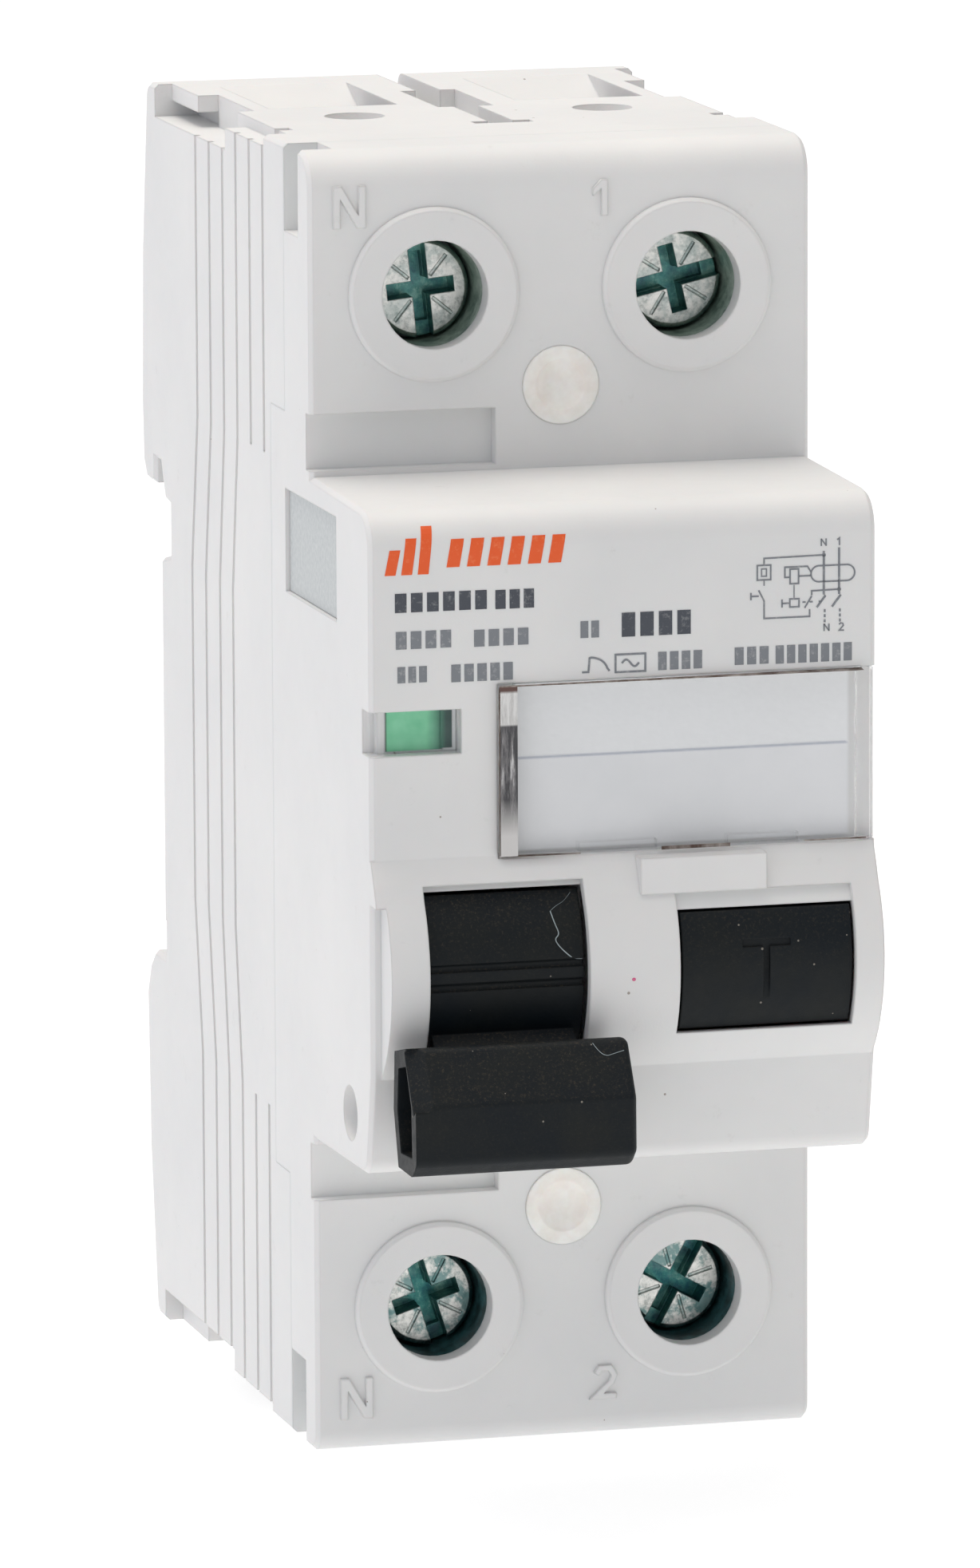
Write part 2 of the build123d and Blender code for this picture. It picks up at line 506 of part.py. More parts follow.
# ---------------------------------------------------------------- contacts
def contact_carrier_closed():
    body = rod_x(4.0, -13.2, 13.2, CARRIER_Y, CARRIER_Z)
    for x in (-POLE_X, POLE_X):
        body += block(x - 3.6, x + 3.6, -16.3, CARRIER_Y, -2.0, 6.0)
        body -= contact_arm_closed(x)
    tip = polar(CARRIER_Y, CARRIER_Z, CARRIER_CRANK_R - 0.6, -CARRIER_SWING / 2)
    crank = rod_x(2.1, -10.8, -7.2, tip[0], tip[1])
    across = [polar(CARRIER_Y, CARRIER_Z, 3.6, -10 + 90), polar(CARRIER_Y, CARRIER_Z, 3.6, -10 - 90)]
    across += [polar(tip[0], tip[1], 2.0, -10 - 90), polar(tip[0], tip[1], 2.0, -10 + 90)]
    crank += prism_x(across, -10.8, -7.2)
    ends = []
    for r in (CARRIER_CRANK_R - 1.35, CARRIER_CRANK_R + 0.1):
        ends.append(polar(CARRIER_Y, CARRIER_Z, r, -CARRIER_SWING / 2))
    slot = rod_x(SLOT_HALF, -12, -6, *ends[0]) + rod_x(SLOT_HALF, -12, -6, *ends[1])
    slot += prism_x([
        polar(*ends[0], SLOT_HALF, -10 + 90), polar(*ends[0], SLOT_HALF, -10 - 90),
        polar(*ends[1], SLOT_HALF, -10 - 90), polar(*ends[1], SLOT_HALF, -10 + 90),
    ], -12, -6)
    body += crank - contact_arm_closed(-POLE_X)
    return body - slot - rod_x(1.25 + GAP, -14, 14, CARRIER_Y, CARRIER_Z)


def contact_arm_closed(x):
    return block(x - 2.4, x + 2.4, -14.9, -13.7, -3.2, 21.4)


def opened(shape):
    """From contacts closed to contacts open, as the device stands at rest."""
    return turned_x(shape, -CARRIER_SWING, CARRIER_Y, CARRIER_Z)


def moving_contact_tips():
    tips = [opened(block(x - 1.8, x + 1.8, -15.6, -14.9, 17.2, 20.8)) for x in (-POLE_X, POLE_X)]
    return Compound(tips)


def fixed_contact_tips():
    tips = [block(x - 1.8, x + 1.8, BAR_Y1, -15.7, 17.0, 21.0) for x in (-POLE_X, POLE_X)]
    return Compound(tips)


def upper_bar(x):
    """Clamping bar of an upper terminal, drawn on as the strip that holds the fixed contact."""
    return block(x - BAR_HALF_X, x + BAR_HALF_X, BAR_Y0, BAR_Y1, 16.4, 41.2)


def lower_bar(x):
    return block(x - BAR_HALF_X, x + BAR_HALF_X, BAR_Y0, BAR_Y1, -41.2, -25.6)


def arc_plates(x):
    plates = [block(x - 3.6, x + 3.6, -15.2, -5.4, z, z + 0.8) for z in (22.9, 24.4, 25.9, 27.4)]
    notch = block(x - 1.2, x + 1.2, -16, -11.5, 22, 29)
    return Compound([p - notch for p in plates])


# ---------------------------------------------------------------- terminals
def terminal_cage(sign_x, sign_z):
    x = sign_x * POLE_X
    z0, z1 = sorted((sign_z * CAGE_Z0, sign_z * CAGE_Z1))
    cage = block(x - CAGE_HALF_X, x + CAGE_HALF_X, CAGE_Y0, CAGE_Y1, z0, z1)
    cage = fillet(cage.edges().filter_by(Axis.Z), 0.8)
    cage -= block(x - 3.7, x + 3.7, CAGE_Y0 + 2.5, CAGE_Y1 - 1.4, z0 - 1, z1 + 1)
    return cage - rod_y(SCREW_R + GAP, CAGE_Y0 - 1, CAGE_Y0 + 3, x, sign_z * TERM_Z)


def drive_recess():
    """Slot across the head, cross recess and four radial ticks, about the Y axis."""
    y = SCREW_HEAD_Y0
    cut = block(-0.62, 0.62, y - 1, y + 1.2, -SCREW_HEAD_R - 1, SCREW_HEAD_R + 1)
    cross = prism_y([(-2.4, -0.55), (2.4, -0.55), (2.4, 0.55), (-2.4, 0.55)], y - 1, y + 1.9)
    cut += cross + Rot(0, 90, 0) * cross
    tick = block(1.1, 2.9, y - 1, y + 0.14, -0.11, 0.11)
    for quarter in range(4):
        cut += Rot(0, 45 + 90 * quarter, 0) * tick
    return cut


def terminal_screw(sign_x, sign_z):
    x = sign_x * POLE_X
    z = sign_z * TERM_Z
    head = rod_y(SCREW_HEAD_R, SCREW_HEAD_Y0, SCREW_HEAD_Y1, x, z)
    head = chamfer(head.edges().filter_by(GeomType.CIRCLE).sort_by(Axis.Y)[0], 0.3)
    head -= Pos(x, 0, z) * Rot(0, -SLOT_LEAN[(sign_x, sign_z)], 0) * drive_recess()
    shank = rod_y(SCREW_R, SCREW_HEAD_Y1, BAR_Y0 - 0.06, x, z)
    return head + chamfer(shank.edges().filter_by(GeomType.CIRCLE).sort_by(Axis.Y)[-1], 0.4)


# ---------------------------------------------------------------- current transformer
def ring_z(r0, r1, z0, z1):
    return rod_z(r1, z0, z1, 0, TOROID_Y) - rod_z(r0, z0, z1, 0, TOROID_Y)


def toroid_case():
    body = ring_z(4.0, 9.5, TOROID_Z0, TOROID_Z1 - 0.8)
    return body - ring_z(4.7, 8.8, TOROID_Z0 + 0.8, TOROID_Z1)


def toroid_lid():
    return ring_z(4.0, 9.5, TOROID_Z1 - 0.8, TOROID_Z1)


def toroid_core():
    return ring_z(5.7, 7.8, -21.6, -15.6)


def toroid_winding():
    turns = 20
    loop = block(4.9, 8.6, -0.5, 0.5, -22.3, -14.9) - block(5.6, 7.9, -1, 1, -21.6, -15.6)
    loops = [Pos(0, TOROID_Y, 0) * Rot(0, 0, 360 * i / turns) * loop for i in range(turns)]
    return Compound(loops)


def primary_conductor(side):
    """Insulated wire from the flexible lead down through the ring to the lower bar."""
    x = side * WIRE_X
    y = TOROID_Y - 0.1
    points = [(x, y, -9.5), (x, y, -27.2), (side * (POLE_X + 1.5), y, -27.2)]
    return wire(points, 2.4, WIRE_R)


def flexible_lead(side):
    """Braided lead from the wire to the foot of the swinging contact arm."""
    x = side * WIRE_X
    y = TOROID_Y - 0.1
    points = [(x, y, -9.5), (x, y, -6.6), (side * POLE_X, -15.6, -6.6), (side * POLE_X, -15.6, -2.4)]
    return wire(points, 1.6, 0.8)


# ---------------------------------------------------------------- trip relay
def relay_case():
    body = block(RELAY_X0, RELAY_X1, RELAY_Y0 + 0.8, RELAY_Y1, RELAY_Z0, RELAY_Z1)
    return body - block(RELAY_X0 + 0.8, RELAY_X1 - 0.8, RELAY_Y0 - 1, RELAY_Y1 - 0.8, RELAY_Z0 + 0.8, RELAY_Z1 - 0.8)


def relay_lid():
    lid = block(RELAY_X0, RELAY_X1, RELAY_Y0, RELAY_Y0 + 0.8, RELAY_Z0, RELAY_Z1)
    return lid - rod_y(1.8, RELAY_Y0 - 1, RELAY_Y0 + 1, PLUNGER_X, PLUNGER_Z)


def relay_yoke():
    yoke = block(PLUNGER_X - 4.4, PLUNGER_X + 4.4, -35.0, -26.2, PLUNGER_Z - 5.4, PLUNGER_Z + 5.4)
    yoke -= block(PLUNGER_X - 5, PLUNGER_X + 5, -34.0, -27.2, PLUNGER_Z - 4.4, PLUNGER_Z + 4.4)
    return yoke - rod_y(1.7, -36, -27, PLUNGER_X, PLUNGER_Z)


def relay_coil():
    coil = rod_y(4.0, -33.6, -27.6, PLUNGER_X, PLUNGER_Z)
    return coil - rod_y(1.6, -34, -27, PLUNGER_X, PLUNGER_Z)


def relay_plunger():
    return rod_y(1.4, -38.5, -28.4, PLUNGER_X, PLUNGER_Z)


def trip_lever():
    x0, x1 = -12.4, -6.0
    body = rod_x(1.9, x0, x1, LEVER_Y, LEVER_Z)
    body += block(x0, -7.6, LEVER_Y - 0.2, -38.6, -22.4, LEVER_Z)
    body += block(-12.4, -11.2, LEVER_Y - 1.0, -38.8, LEVER_Z, -5.2)
    return body - rod_x(0.8 + GAP, x0 - 1, x1 + 1, LEVER_Y, LEVER_Z)


def trip_lever_pin():
    return rod_x(0.8, -16.5, -3.4, LEVER_Y, LEVER_Z)


def trip_spring():
    """Torsion coil on the trip lever's pin."""
    coil = spring(1.25, 0.2, 0.9, 2)
    return Pos(-5.65, LEVER_Y, LEVER_Z) * Rot(0, 90, 0) * coil


def mechanism_frame():
    outline = [(-42.6, -14.8), (-37.4, -14.8), (-37.4, -12.8), (-30, -12.8), (-30, 12), (-42.6, 12)]
    frame = prism_x(outline, -IN_W, -IN_W + 1.0) + prism_x(outline, -4.4, -3.4)
    window = prism_x([(-40.4, -8), (-32.4, -8), (-32.4, 9), (-40.4, 9)], -IN_W - 1, -3)
    frame -= window
    frame += block(-IN_W, -3.4, -42.6, -30, 11.2, 12.2)
    return frame - rod_x(0.8, -17, -3, LEVER_Y, LEVER_Z)


# ---------------------------------------------------------------- test circuit
def test_button():
    """Round-faced push button under the bulge's skin, with a guide stem and side stops."""
    x0, x1 = 3.4, 15.4
    z0, z1 = -13.2, -5.15
    cap = rod_x(BULGE_R - LEDGE, x0, x1, TOGGLE_Y, TOGGLE_Z)
    cap &= block(x0, x1, -70, -57.0, z0, z1)
    cap -= block(x0 + 1.1, x1 - 1.1, -61.0, -56, z0 + 1, z1 - 1)
    foot = block(x0 + 1, x1 - 1, -57.6, -56.4, z0 + 0.8, z1 - 0.8)
    stem = rod_y(1.5, -57, -47.2, 9.05, -9.2)
    letter = block(7.65, 11.05, -70, -61.85, -7.65, -7.15) + block(9.13, 9.58, -70, -61.85, -11.5, -7.15)
    return cap + foot + stem - letter


def test_spring():
    coil = spring(2.1, 0.25, 6.0, 5)
    return Pos(9.05, -56.1, -9.2) * Rot(-90, 0, 0) * coil


def button_guide():
    """Shelf behind the test button: guides the stem and backs the return spring."""
    shelf = block(2.4, IN_W, -49.8, -48.4, -14.0, -4.0)
    return shelf - rod_y(1.5 + GAP, -51, -47, 9.05, -9.2)


def test_contact():
    """Bent spring strip that the stem pushes against the test circuit's stop."""
    strip = block(5.0, 13.0, -44.0, -43.6, -11.2, -7.2)
    return strip + block(12.6, 13.0, -43.8, -37.4, -11.2, -7.2)


def test_resistor():
    body = rod_x(1.7, 5.4, 12.6, -39.2, -17.5)
    lead = rod_x(0.35, 3.9, 14.1, -39.2, -17.5)
    return body + lead


def filter_board():
    return block(3.4, 16.2, -36.6, -35.2, -27.4, -4.8)


def board_parts():
    y = -35.2
    parts = [block(5, 9, y, y + 3.2, -26, -22), block(10.5, 15, y, y + 2.4, -25.5, -21)]
    parts += [rod_y(1.9, y, y + 4.6, 6.2, -15.5), rod_y(1.9, y, y + 4.6, 11.2, -15.5)]
    parts += [block(4.6 + 3 * i, 6.2 + 3 * i, y, y + 0.8, -10.4, -7.4) for i in range(4)]
    return Compound(parts)


# ---------------------------------------------------------------- rail clip
def rail_clip():
    plate = block(-7.0, 7.0, 1.4, 2.45, -44.6, -20.5)
    plate += block(-6.0, 6.0, 1.4, 3.6, -44.6, -18.6)
    tooth = prism_x([(1.75, -18.8), (1.75, -16.9), (2.2, -16.1), (3.6, -17.4), (3.6, -18.8)], -6.0, 6.0)
    tab = block(-1.7, 1.7, -2.2, 1.6, -27.4, -26.2)
    plate -= block(-2.4, 2.4, 1.0, 4.0, -43.4, -41.2)
    return plate + tooth + tab


def clip_spring():
    coil = spring(1.35, 0.28, 10.0, 7)
    return Pos(0, -0.45, -37.7) * coil


# ---------------------------------------------------------------- assembly
def all_parts():
    parts = {
        "base_housing": base_housing(),
        "front_cover": front_cover(),
        "assembly_screws": assembly_screws(),
        "seal_plugs": seal_plugs(),
        "well_sleeves": well_sleeves(),
        "indicator_window": indicator_window(),
        "indicator_flag": indicator_flag(),
        "indicator_green_field": indicator_green_field(),
        "side_port_cover": side_port_cover(),
        "label_strip": label_strip(),
        "label_cover": label_cover(),
        "toggle_lever": toggle_lever(),
        "toggle_pin": toggle_pin(),
        "drive_link": drive_link(),
        "contact_carrier": opened(contact_carrier_closed()),
        "carrier_pin": rod_x(1.25, -17.0, 17.0, CARRIER_Y, CARRIER_Z),
        "moving_contact_tips": moving_contact_tips(),
        "fixed_contact_tips": fixed_contact_tips(),
        "toroid_case": toroid_case(),
        "toroid_lid": toroid_lid(),
        "toroid_core": toroid_core(),
        "toroid_winding": toroid_winding(),
        "relay_case": relay_case(),
        "relay_lid": relay_lid(),
        "relay_yoke": relay_yoke(),
        "relay_coil": relay_coil(),
        "relay_plunger": relay_plunger(),
        "trip_lever": trip_lever(),
        "trip_lever_pin": trip_lever_pin(),
        "trip_spring": trip_spring(),
        "mechanism_frame": mechanism_frame(),
        "test_button": test_button(),
        "test_spring": test_spring(),
        "button_guide": button_guide(),
        "test_contact": test_contact(),
        "test_resistor": test_resistor(),
        "filter_board": filter_board(),
        "board_parts": board_parts(),
        "rail_clip": rail_clip(),
        "clip_spring": clip_spring(),
    }
    for name, side in (("left", -1), ("right", 1)):
        parts["contact_arm_" + name] = opened(contact_arm_closed(side * POLE_X))
        parts["upper_bar_" + name] = upper_bar(side * POLE_X)
        parts["lower_bar_" + name] = lower_bar(side * POLE_X)
        parts["arc_plates_" + name] = arc_plates(side * POLE_X)
        parts["primary_conductor_" + name] = primary_conductor(side)
        parts["flexible_lead_" + name] = flexible_lead(side)
        for level, up in (("upper", 1), ("lower", -1)):
            parts["terminal_cage_" + level + "_" + name] = terminal_cage(side, up)
            parts["terminal_screw_" + level + "_" + name] = terminal_screw(side, up)
    return parts


os.makedirs("parts", exist_ok=True)
for part_name, shape in all_parts().items():
    shape.label = part_name
    export_step(shape, "parts/" + part_name + ".step")
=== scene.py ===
"""Looks of the two-pole residual current device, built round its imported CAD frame.

Metres, in the CAD's own frame: X to the right seen from the front, +Y to the rail, +Z up.
"""
import json
import math
import bmesh
import bpy
from mathutils import Matrix, Vector


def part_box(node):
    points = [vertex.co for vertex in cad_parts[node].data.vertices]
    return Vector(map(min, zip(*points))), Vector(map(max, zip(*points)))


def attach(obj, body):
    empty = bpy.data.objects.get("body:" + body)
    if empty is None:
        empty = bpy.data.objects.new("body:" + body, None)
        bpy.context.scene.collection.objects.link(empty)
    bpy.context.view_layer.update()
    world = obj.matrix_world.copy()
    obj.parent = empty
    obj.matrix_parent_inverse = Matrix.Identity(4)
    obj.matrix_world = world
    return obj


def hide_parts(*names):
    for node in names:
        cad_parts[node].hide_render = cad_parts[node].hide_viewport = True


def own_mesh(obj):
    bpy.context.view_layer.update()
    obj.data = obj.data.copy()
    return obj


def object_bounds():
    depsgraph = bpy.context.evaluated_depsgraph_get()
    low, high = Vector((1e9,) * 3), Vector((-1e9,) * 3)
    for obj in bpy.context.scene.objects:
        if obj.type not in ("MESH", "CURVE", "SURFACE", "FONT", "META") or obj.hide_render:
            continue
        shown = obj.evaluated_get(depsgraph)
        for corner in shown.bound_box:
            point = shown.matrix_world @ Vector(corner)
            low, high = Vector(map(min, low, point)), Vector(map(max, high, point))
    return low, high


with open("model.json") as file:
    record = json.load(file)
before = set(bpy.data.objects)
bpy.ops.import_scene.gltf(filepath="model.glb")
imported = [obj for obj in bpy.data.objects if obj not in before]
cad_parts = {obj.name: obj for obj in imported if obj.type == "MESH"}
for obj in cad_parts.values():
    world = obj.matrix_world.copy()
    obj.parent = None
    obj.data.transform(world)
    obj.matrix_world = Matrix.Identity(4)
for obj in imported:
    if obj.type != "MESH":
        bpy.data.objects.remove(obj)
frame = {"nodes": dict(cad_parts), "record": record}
cad_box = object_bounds()

MM = 0.001
WHITE = (1.0, 1.0, 1.0)


# ---------------------------------------------------------------- camera
AZIMUTH = math.radians(15.11)        # the camera stands to the left of straight ahead
ELEVATION = math.radians(9.86)
ROLL = math.radians(-0.25)
CAMERA_AT = Vector((-0.21226, -0.81086, 0.13931))
LENS_MM = 268.45
SENSOR_MM = 36.0
CLIP_NEAR, CLIP_FAR = 0.05, 20.0     # metres


def make_camera():
    level = math.cos(ELEVATION)
    right = Vector((math.cos(AZIMUTH), -math.sin(AZIMUTH), 0))
    back = Vector((-math.sin(AZIMUTH) * level, -math.cos(AZIMUTH) * level, math.sin(ELEVATION)))
    up = back.cross(right)
    x_axis = math.cos(ROLL) * right + math.sin(ROLL) * up
    y_axis = -math.sin(ROLL) * right + math.cos(ROLL) * up
    data = bpy.data.cameras.new("camera")
    data.lens = LENS_MM
    data.sensor_width = SENSOR_MM
    data.clip_start = CLIP_NEAR
    data.clip_end = CLIP_FAR
    data.dof.use_dof = False
    cam = bpy.data.objects.new("camera", data)
    turn = Matrix((x_axis, y_axis, back)).transposed().to_4x4()
    cam.matrix_world = Matrix.Translation(CAMERA_AT) @ turn
    bpy.context.scene.collection.objects.link(cam)
    bpy.context.scene.camera = cam


# ---------------------------------------------------------------- node helpers
BEVEL_SAMPLES = 6


class Shader:
    """A material and short ways to add nodes to it. Patterns are sized in mm, in the frame's axes."""

    def __init__(self, name):
        self.material = bpy.data.materials.new(name)
        self.material.use_nodes = True
        self.tree = self.material.node_tree
        self.tree.nodes.clear()
        self.out = self.add("ShaderNodeOutputMaterial")
        self.bsdf = self.add("ShaderNodeBsdfPrincipled")
        self.link(self.bsdf.outputs["BSDF"], self.out.inputs["Surface"])
        self.place = self.add("ShaderNodeTexCoord").outputs["Object"]

    def add(self, kind, **settings):
        node = self.tree.nodes.new(kind)
        for key, value in settings.items():
            setattr(node, key, value)
        return node

    def link(self, source, target):
        self.tree.links.new(source, target)

    def set(self, **values):
        for key, value in values.items():
            self.bsdf.inputs[key.replace("_", " ")].default_value = value

    def noise(self, size_mm, detail=3.0, roughness=0.5, stretch=(1, 1, 1)):
        """Cloudy noise from 0 to 1, finer along an axis whose stretch is above 1."""
        mapping = self.add("ShaderNodeMapping")
        mapping.inputs["Scale"].default_value = stretch
        self.link(self.place, mapping.inputs["Vector"])
        noise = self.add("ShaderNodeTexNoise")
        noise.inputs["Scale"].default_value = 1000.0 / size_mm
        noise.inputs["Detail"].default_value = detail
        noise.inputs["Roughness"].default_value = roughness
        self.link(mapping.outputs["Vector"], noise.inputs["Vector"])
        return noise.outputs["Fac"]

    def specks(self, size_mm, radius):
        """1 inside sparse round dots, 0 elsewhere."""
        cells = self.add("ShaderNodeTexVoronoi")
        cells.inputs["Scale"].default_value = 1000.0 / size_mm
        self.link(self.place, cells.inputs["Vector"])
        pick = self.add("ShaderNodeSeparateColor")
        self.link(cells.outputs["Color"], pick.inputs["Color"])
        size = self.math("MULTIPLY", pick.outputs["Red"], radius)
        return self.math("LESS_THAN", cells.outputs["Distance"], size)

    def component(self, vector, axis):
        split = self.add("ShaderNodeSeparateXYZ")
        self.link(vector, split.inputs["Vector"])
        return split.outputs[axis]

    def along(self, axis, low_mm, high_mm):
        """0 before low_mm and 1 past high_mm along an axis of the frame."""
        return self.span(self.component(self.place, axis), 0.0, 1.0, low_mm * MM, high_mm * MM)

    def math(self, operation, a, b):
        node = self.add("ShaderNodeMath", operation=operation)
        for socket, value in zip(node.inputs, (a, b)):
            if isinstance(value, (int, float)):
                socket.default_value = value
            else:
                self.link(value, socket)
        return node.outputs[0]

    def ramp(self, factor, *stops):
        """Colour that runs through stops, each a position and a colour."""
        node = self.add("ShaderNodeValToRGB")
        while len(node.color_ramp.elements) < len(stops):
            node.color_ramp.elements.new(0.5)
        for element, (at, colour) in zip(node.color_ramp.elements, stops):
            element.position = at
            element.color = (*colour, 1.0)
        self.link(factor, node.inputs["Fac"])
        return node.outputs["Color"]

    def span(self, factor, low, high, from_low=0.0, from_high=1.0):
        """Carries from_low to low and from_high to high, and stops there."""
        node = self.add("ShaderNodeMapRange")
        ends = {"From Min": from_low, "From Max": from_high, "To Min": low, "To Max": high}
        for name, value in ends.items():
            node.inputs[name].default_value = value
        self.link(factor, node.inputs["Value"])
        return node.outputs["Result"]

    def mix(self, factor, a, b):
        node = self.add("ShaderNodeMix", data_type="RGBA")
        if isinstance(factor, float):
            node.inputs["Factor"].default_value = factor
        else:
            self.link(factor, node.inputs["Factor"])
        for socket, value in ((node.inputs["A"], a), (node.inputs["B"], b)):
            if isinstance(value, tuple):
                socket.default_value = (*value, 1.0)
            else:
                self.link(value, socket)
        return node.outputs["Result"]

    def bump(self, height, depth_mm, strength, edge_mm=None):
        """Bump from a height, over edges rounded to edge_mm where that is given."""
        node = self.add("ShaderNodeBump")
        node.inputs["Strength"].default_value = strength
        node.inputs["Distance"].default_value = depth_mm * MM
        self.link(height, node.inputs["Height"])
        if edge_mm:
            bevel = self.add("ShaderNodeBevel", samples=BEVEL_SAMPLES)
            bevel.inputs["Radius"].default_value = edge_mm * MM
            self.link(bevel.outputs["Normal"], node.inputs["Normal"])
        self.link(node.outputs["Normal"], self.bsdf.inputs["Normal"])

    def colour(self, source):
        self.link(source, self.bsdf.inputs["Base Color"])

    def rough(self, source):
        self.link(source, self.bsdf.inputs["Roughness"])


# ---------------------------------------------------------------- materials
# Places in the frame where a finish changes, in mm. A pair is where the change starts and where it ends.
LOWER_Z, UPPER_Z = -5.0, 5.0         # between the lower and the upper screws
RECESS_MOUTH_Y = (-40.25, -39.95)    # just under the screw heads' faces
HEAD_BACK_Y = (-37.2, -37.4)         # just in front of the heads' backs
FLAG_SHADE_X = (-13.5, -12.3)
FLAG_END_FADE = 0.35
FOLD_Z = (5.5, 5.56)                 # the label card's fold
# The clear cover's side wall from the top down: brown corner, then painted reflection as a pale stretch and
# dark streaks, fading to grey.
WALL_CORNER_Z = (10.25, 10.45)
WALL_PALE_Z = (8.0, 8.15)
WALL_FADE_Z = (3.0, 0.5)


def shell_plastic():
    """Light grey moulded shell: fine grain, faint cloudy tone, a few handling specks."""
    m = Shader("shell_plastic")
    cloud = m.noise(14.0, 4.0, 0.6)
    tone = m.ramp(cloud, (0.3, (0.690, 0.695, 0.695)), (0.7, (0.745, 0.745, 0.738)))
    grime = m.ramp(m.noise(2.4, 6.0, 0.75), (0.30, (0.55, 0.53, 0.50)), (0.37, WHITE))
    tone = m.mix(0.08, tone, grime)
    m.colour(m.mix(m.specks(3.1, 0.040), tone, (0.36, 0.33, 0.30)))
    m.rough(m.span(m.noise(0.9, 3.0), 0.42, 0.58))
    m.bump(m.noise(0.16, 2.0), 0.012, 0.55, edge_mm=0.22)
    m.set(Subsurface_Weight=0.06, Subsurface_Scale=0.0012, Specular_IOR_Level=0.45)
    return m.material


def plug_plastic():
    """Cream plug, a little translucent, with a mottled cast face."""
    m = Shader("plug_plastic")
    mottle = m.noise(1.6, 3.0, 0.6)
    m.colour(m.ramp(mottle, (0.35, (0.90, 0.825, 0.775)), (0.65, (0.98, 0.925, 0.885))))
    m.rough(m.span(m.noise(0.5), 0.25, 0.5))
    m.bump(m.noise(1.1, 2.0), 0.05, 0.6, edge_mm=0.15)
    m.set(Subsurface_Weight=0.2, Subsurface_Scale=0.002)
    return m.material


def panel_plastic():
    """Darker grey moulding with a coarse grain."""
    m = Shader("panel_plastic")
    m.colour(m.ramp(m.noise(0.35, 3.0), (0.35, (0.50, 0.53, 0.535)), (0.7, (0.585, 0.61, 0.61))))
    m.rough(m.span(m.noise(0.6), 0.5, 0.65))
    m.bump(m.noise(0.2, 2.0), 0.02, 0.8)
    return m.material


def black_plastic():
    """Black moulded plastic with a fine grain, a bluish bloom, brown powder on what faces up, and dust."""
    m = Shader("black_plastic")
    bloom = m.noise(5.0, 5.0, 0.65)
    tone = m.ramp(bloom, (0.35, (0.0045, 0.0078, 0.0110)), (0.72, (0.0105, 0.0125, 0.0120)))
    normal = m.add("ShaderNodeNewGeometry").outputs["Normal"]
    upward = m.span(m.component(normal, "Z"), 0.0, 1.0, -0.15, 0.75)
    powder = m.ramp(m.noise(0.22, 6.0, 0.85), (0.53, (0, 0, 0)), (0.66, WHITE))
    powder = m.math("MULTIPLY", m.math("MULTIPLY", powder, upward), 0.75)
    tone = m.mix(powder, tone, (0.075, 0.060, 0.040))
    m.colour(m.mix(m.specks(1.3, 0.070), tone, (0.20, 0.185, 0.16)))
    m.rough(m.span(m.noise(0.7, 3.0), 0.40, 0.62))
    m.bump(m.noise(0.14, 2.0), 0.02, 0.7, edge_mm=0.18)
    m.set(Specular_IOR_Level=0.20)
    return m.material


def clear_plastic(name, cover):
    """Clear polycarbonate, thin and faintly scuffed. cover is the share of light that it bends."""
    m = Shader(name)
    m.set(Base_Color=(0.985, 0.99, 0.995, 1.0), Transmission_Weight=1.0, IOR=1.25, Alpha=cover)
    m.rough(m.span(m.noise(3.0, 5.0, 0.7), 0.02, 0.12, 0.35, 0.75))
    m.bump(m.noise(4.0, 2.0), 0.02, 0.25, edge_mm=0.15)
    return m.material


def flag_plastic(name, dark, light, shade=None):
    """Flag behind the window. shade is the tone of its right end, in the shadow of the frame."""
    m = Shader(name)
    tone = m.ramp(m.noise(1.1, 3.0), (0.3, dark), (0.7, light))
    if shade:
        tone = m.mix(m.along("X", *FLAG_SHADE_X), tone, shade)
    m.colour(tone)
    m.rough(m.span(m.noise(0.5), 0.35, 0.5))
    m.bump(m.noise(0.3), 0.01, 0.5)
    return m.material


def label_paper():
    """Label card, folded across the middle: the half below the fold stands a little darker."""
    m = Shader("label_paper")
    upper = m.ramp(m.noise(0.25, 5.0, 0.7), (0.3, (0.86, 0.875, 0.885)), (0.7, (0.90, 0.915, 0.925)))
    lower = m.ramp(m.noise(6.0, 3.0, 0.6), (0.3, (0.81, 0.825, 0.84)), (0.7, (0.86, 0.87, 0.885)))
    m.colour(m.mix(m.along("Z", *FOLD_Z), lower, upper))
    m.rough(m.span(m.noise(0.2), 0.7, 0.9))
    m.bump(m.noise(0.12, 4.0), 0.008, 0.6)
    return m.material


def zinc_steel():
    """Zinc-plated screw steel: bright grey, stained more on the lower screws, with grease and painted shade
    on the heads' sides down in the recess.
    """
    m = Shader("zinc_steel")
    tarnish = m.noise(0.5, 5.0, 0.7)
    bright = ((0.34, (0.42, 0.44, 0.42)), (0.5, (0.72, 0.73, 0.70)), (0.75, (0.90, 0.89, 0.85)))
    stain = m.ramp(m.noise(1.9, 5.0, 0.7), (0.46, (0, 0, 0)), (0.56, WHITE))
    strength = m.span(m.along("Z", UPPER_Z, LOWER_Z), 0.30, 0.80)
    tone = m.mix(m.math("MULTIPLY", stain, strength), m.ramp(tarnish, *bright), (0.06, 0.20, 0.20))
    # painted shade: the heads' sides down in the well take dark green tones, grease in shadow
    recess_shade_mask = m.math("MULTIPLY", m.along("Y", *RECESS_MOUTH_Y), m.along("Y", *HEAD_BACK_Y))
    grease_and_shade_tones = ((0.36, (0.010, 0.080, 0.11)), (0.52, (0.05, 0.21, 0.19)), (0.68, (0.26, 0.46, 0.40)))
    grease_and_shade = m.ramp(m.noise(1.6, 6.0, 0.75), *grease_and_shade_tones)
    m.colour(m.mix(m.math("MULTIPLY", recess_shade_mask, 0.92), tone, grease_and_shade))
    m.rough(m.span(m.noise(0.35, 5.0, 0.7), 0.20, 0.50))
    m.bump(m.noise(0.25, 5.0, 0.7), 0.03, 0.5, edge_mm=0.12)
    m.set(Metallic=1.0)
    return m.material


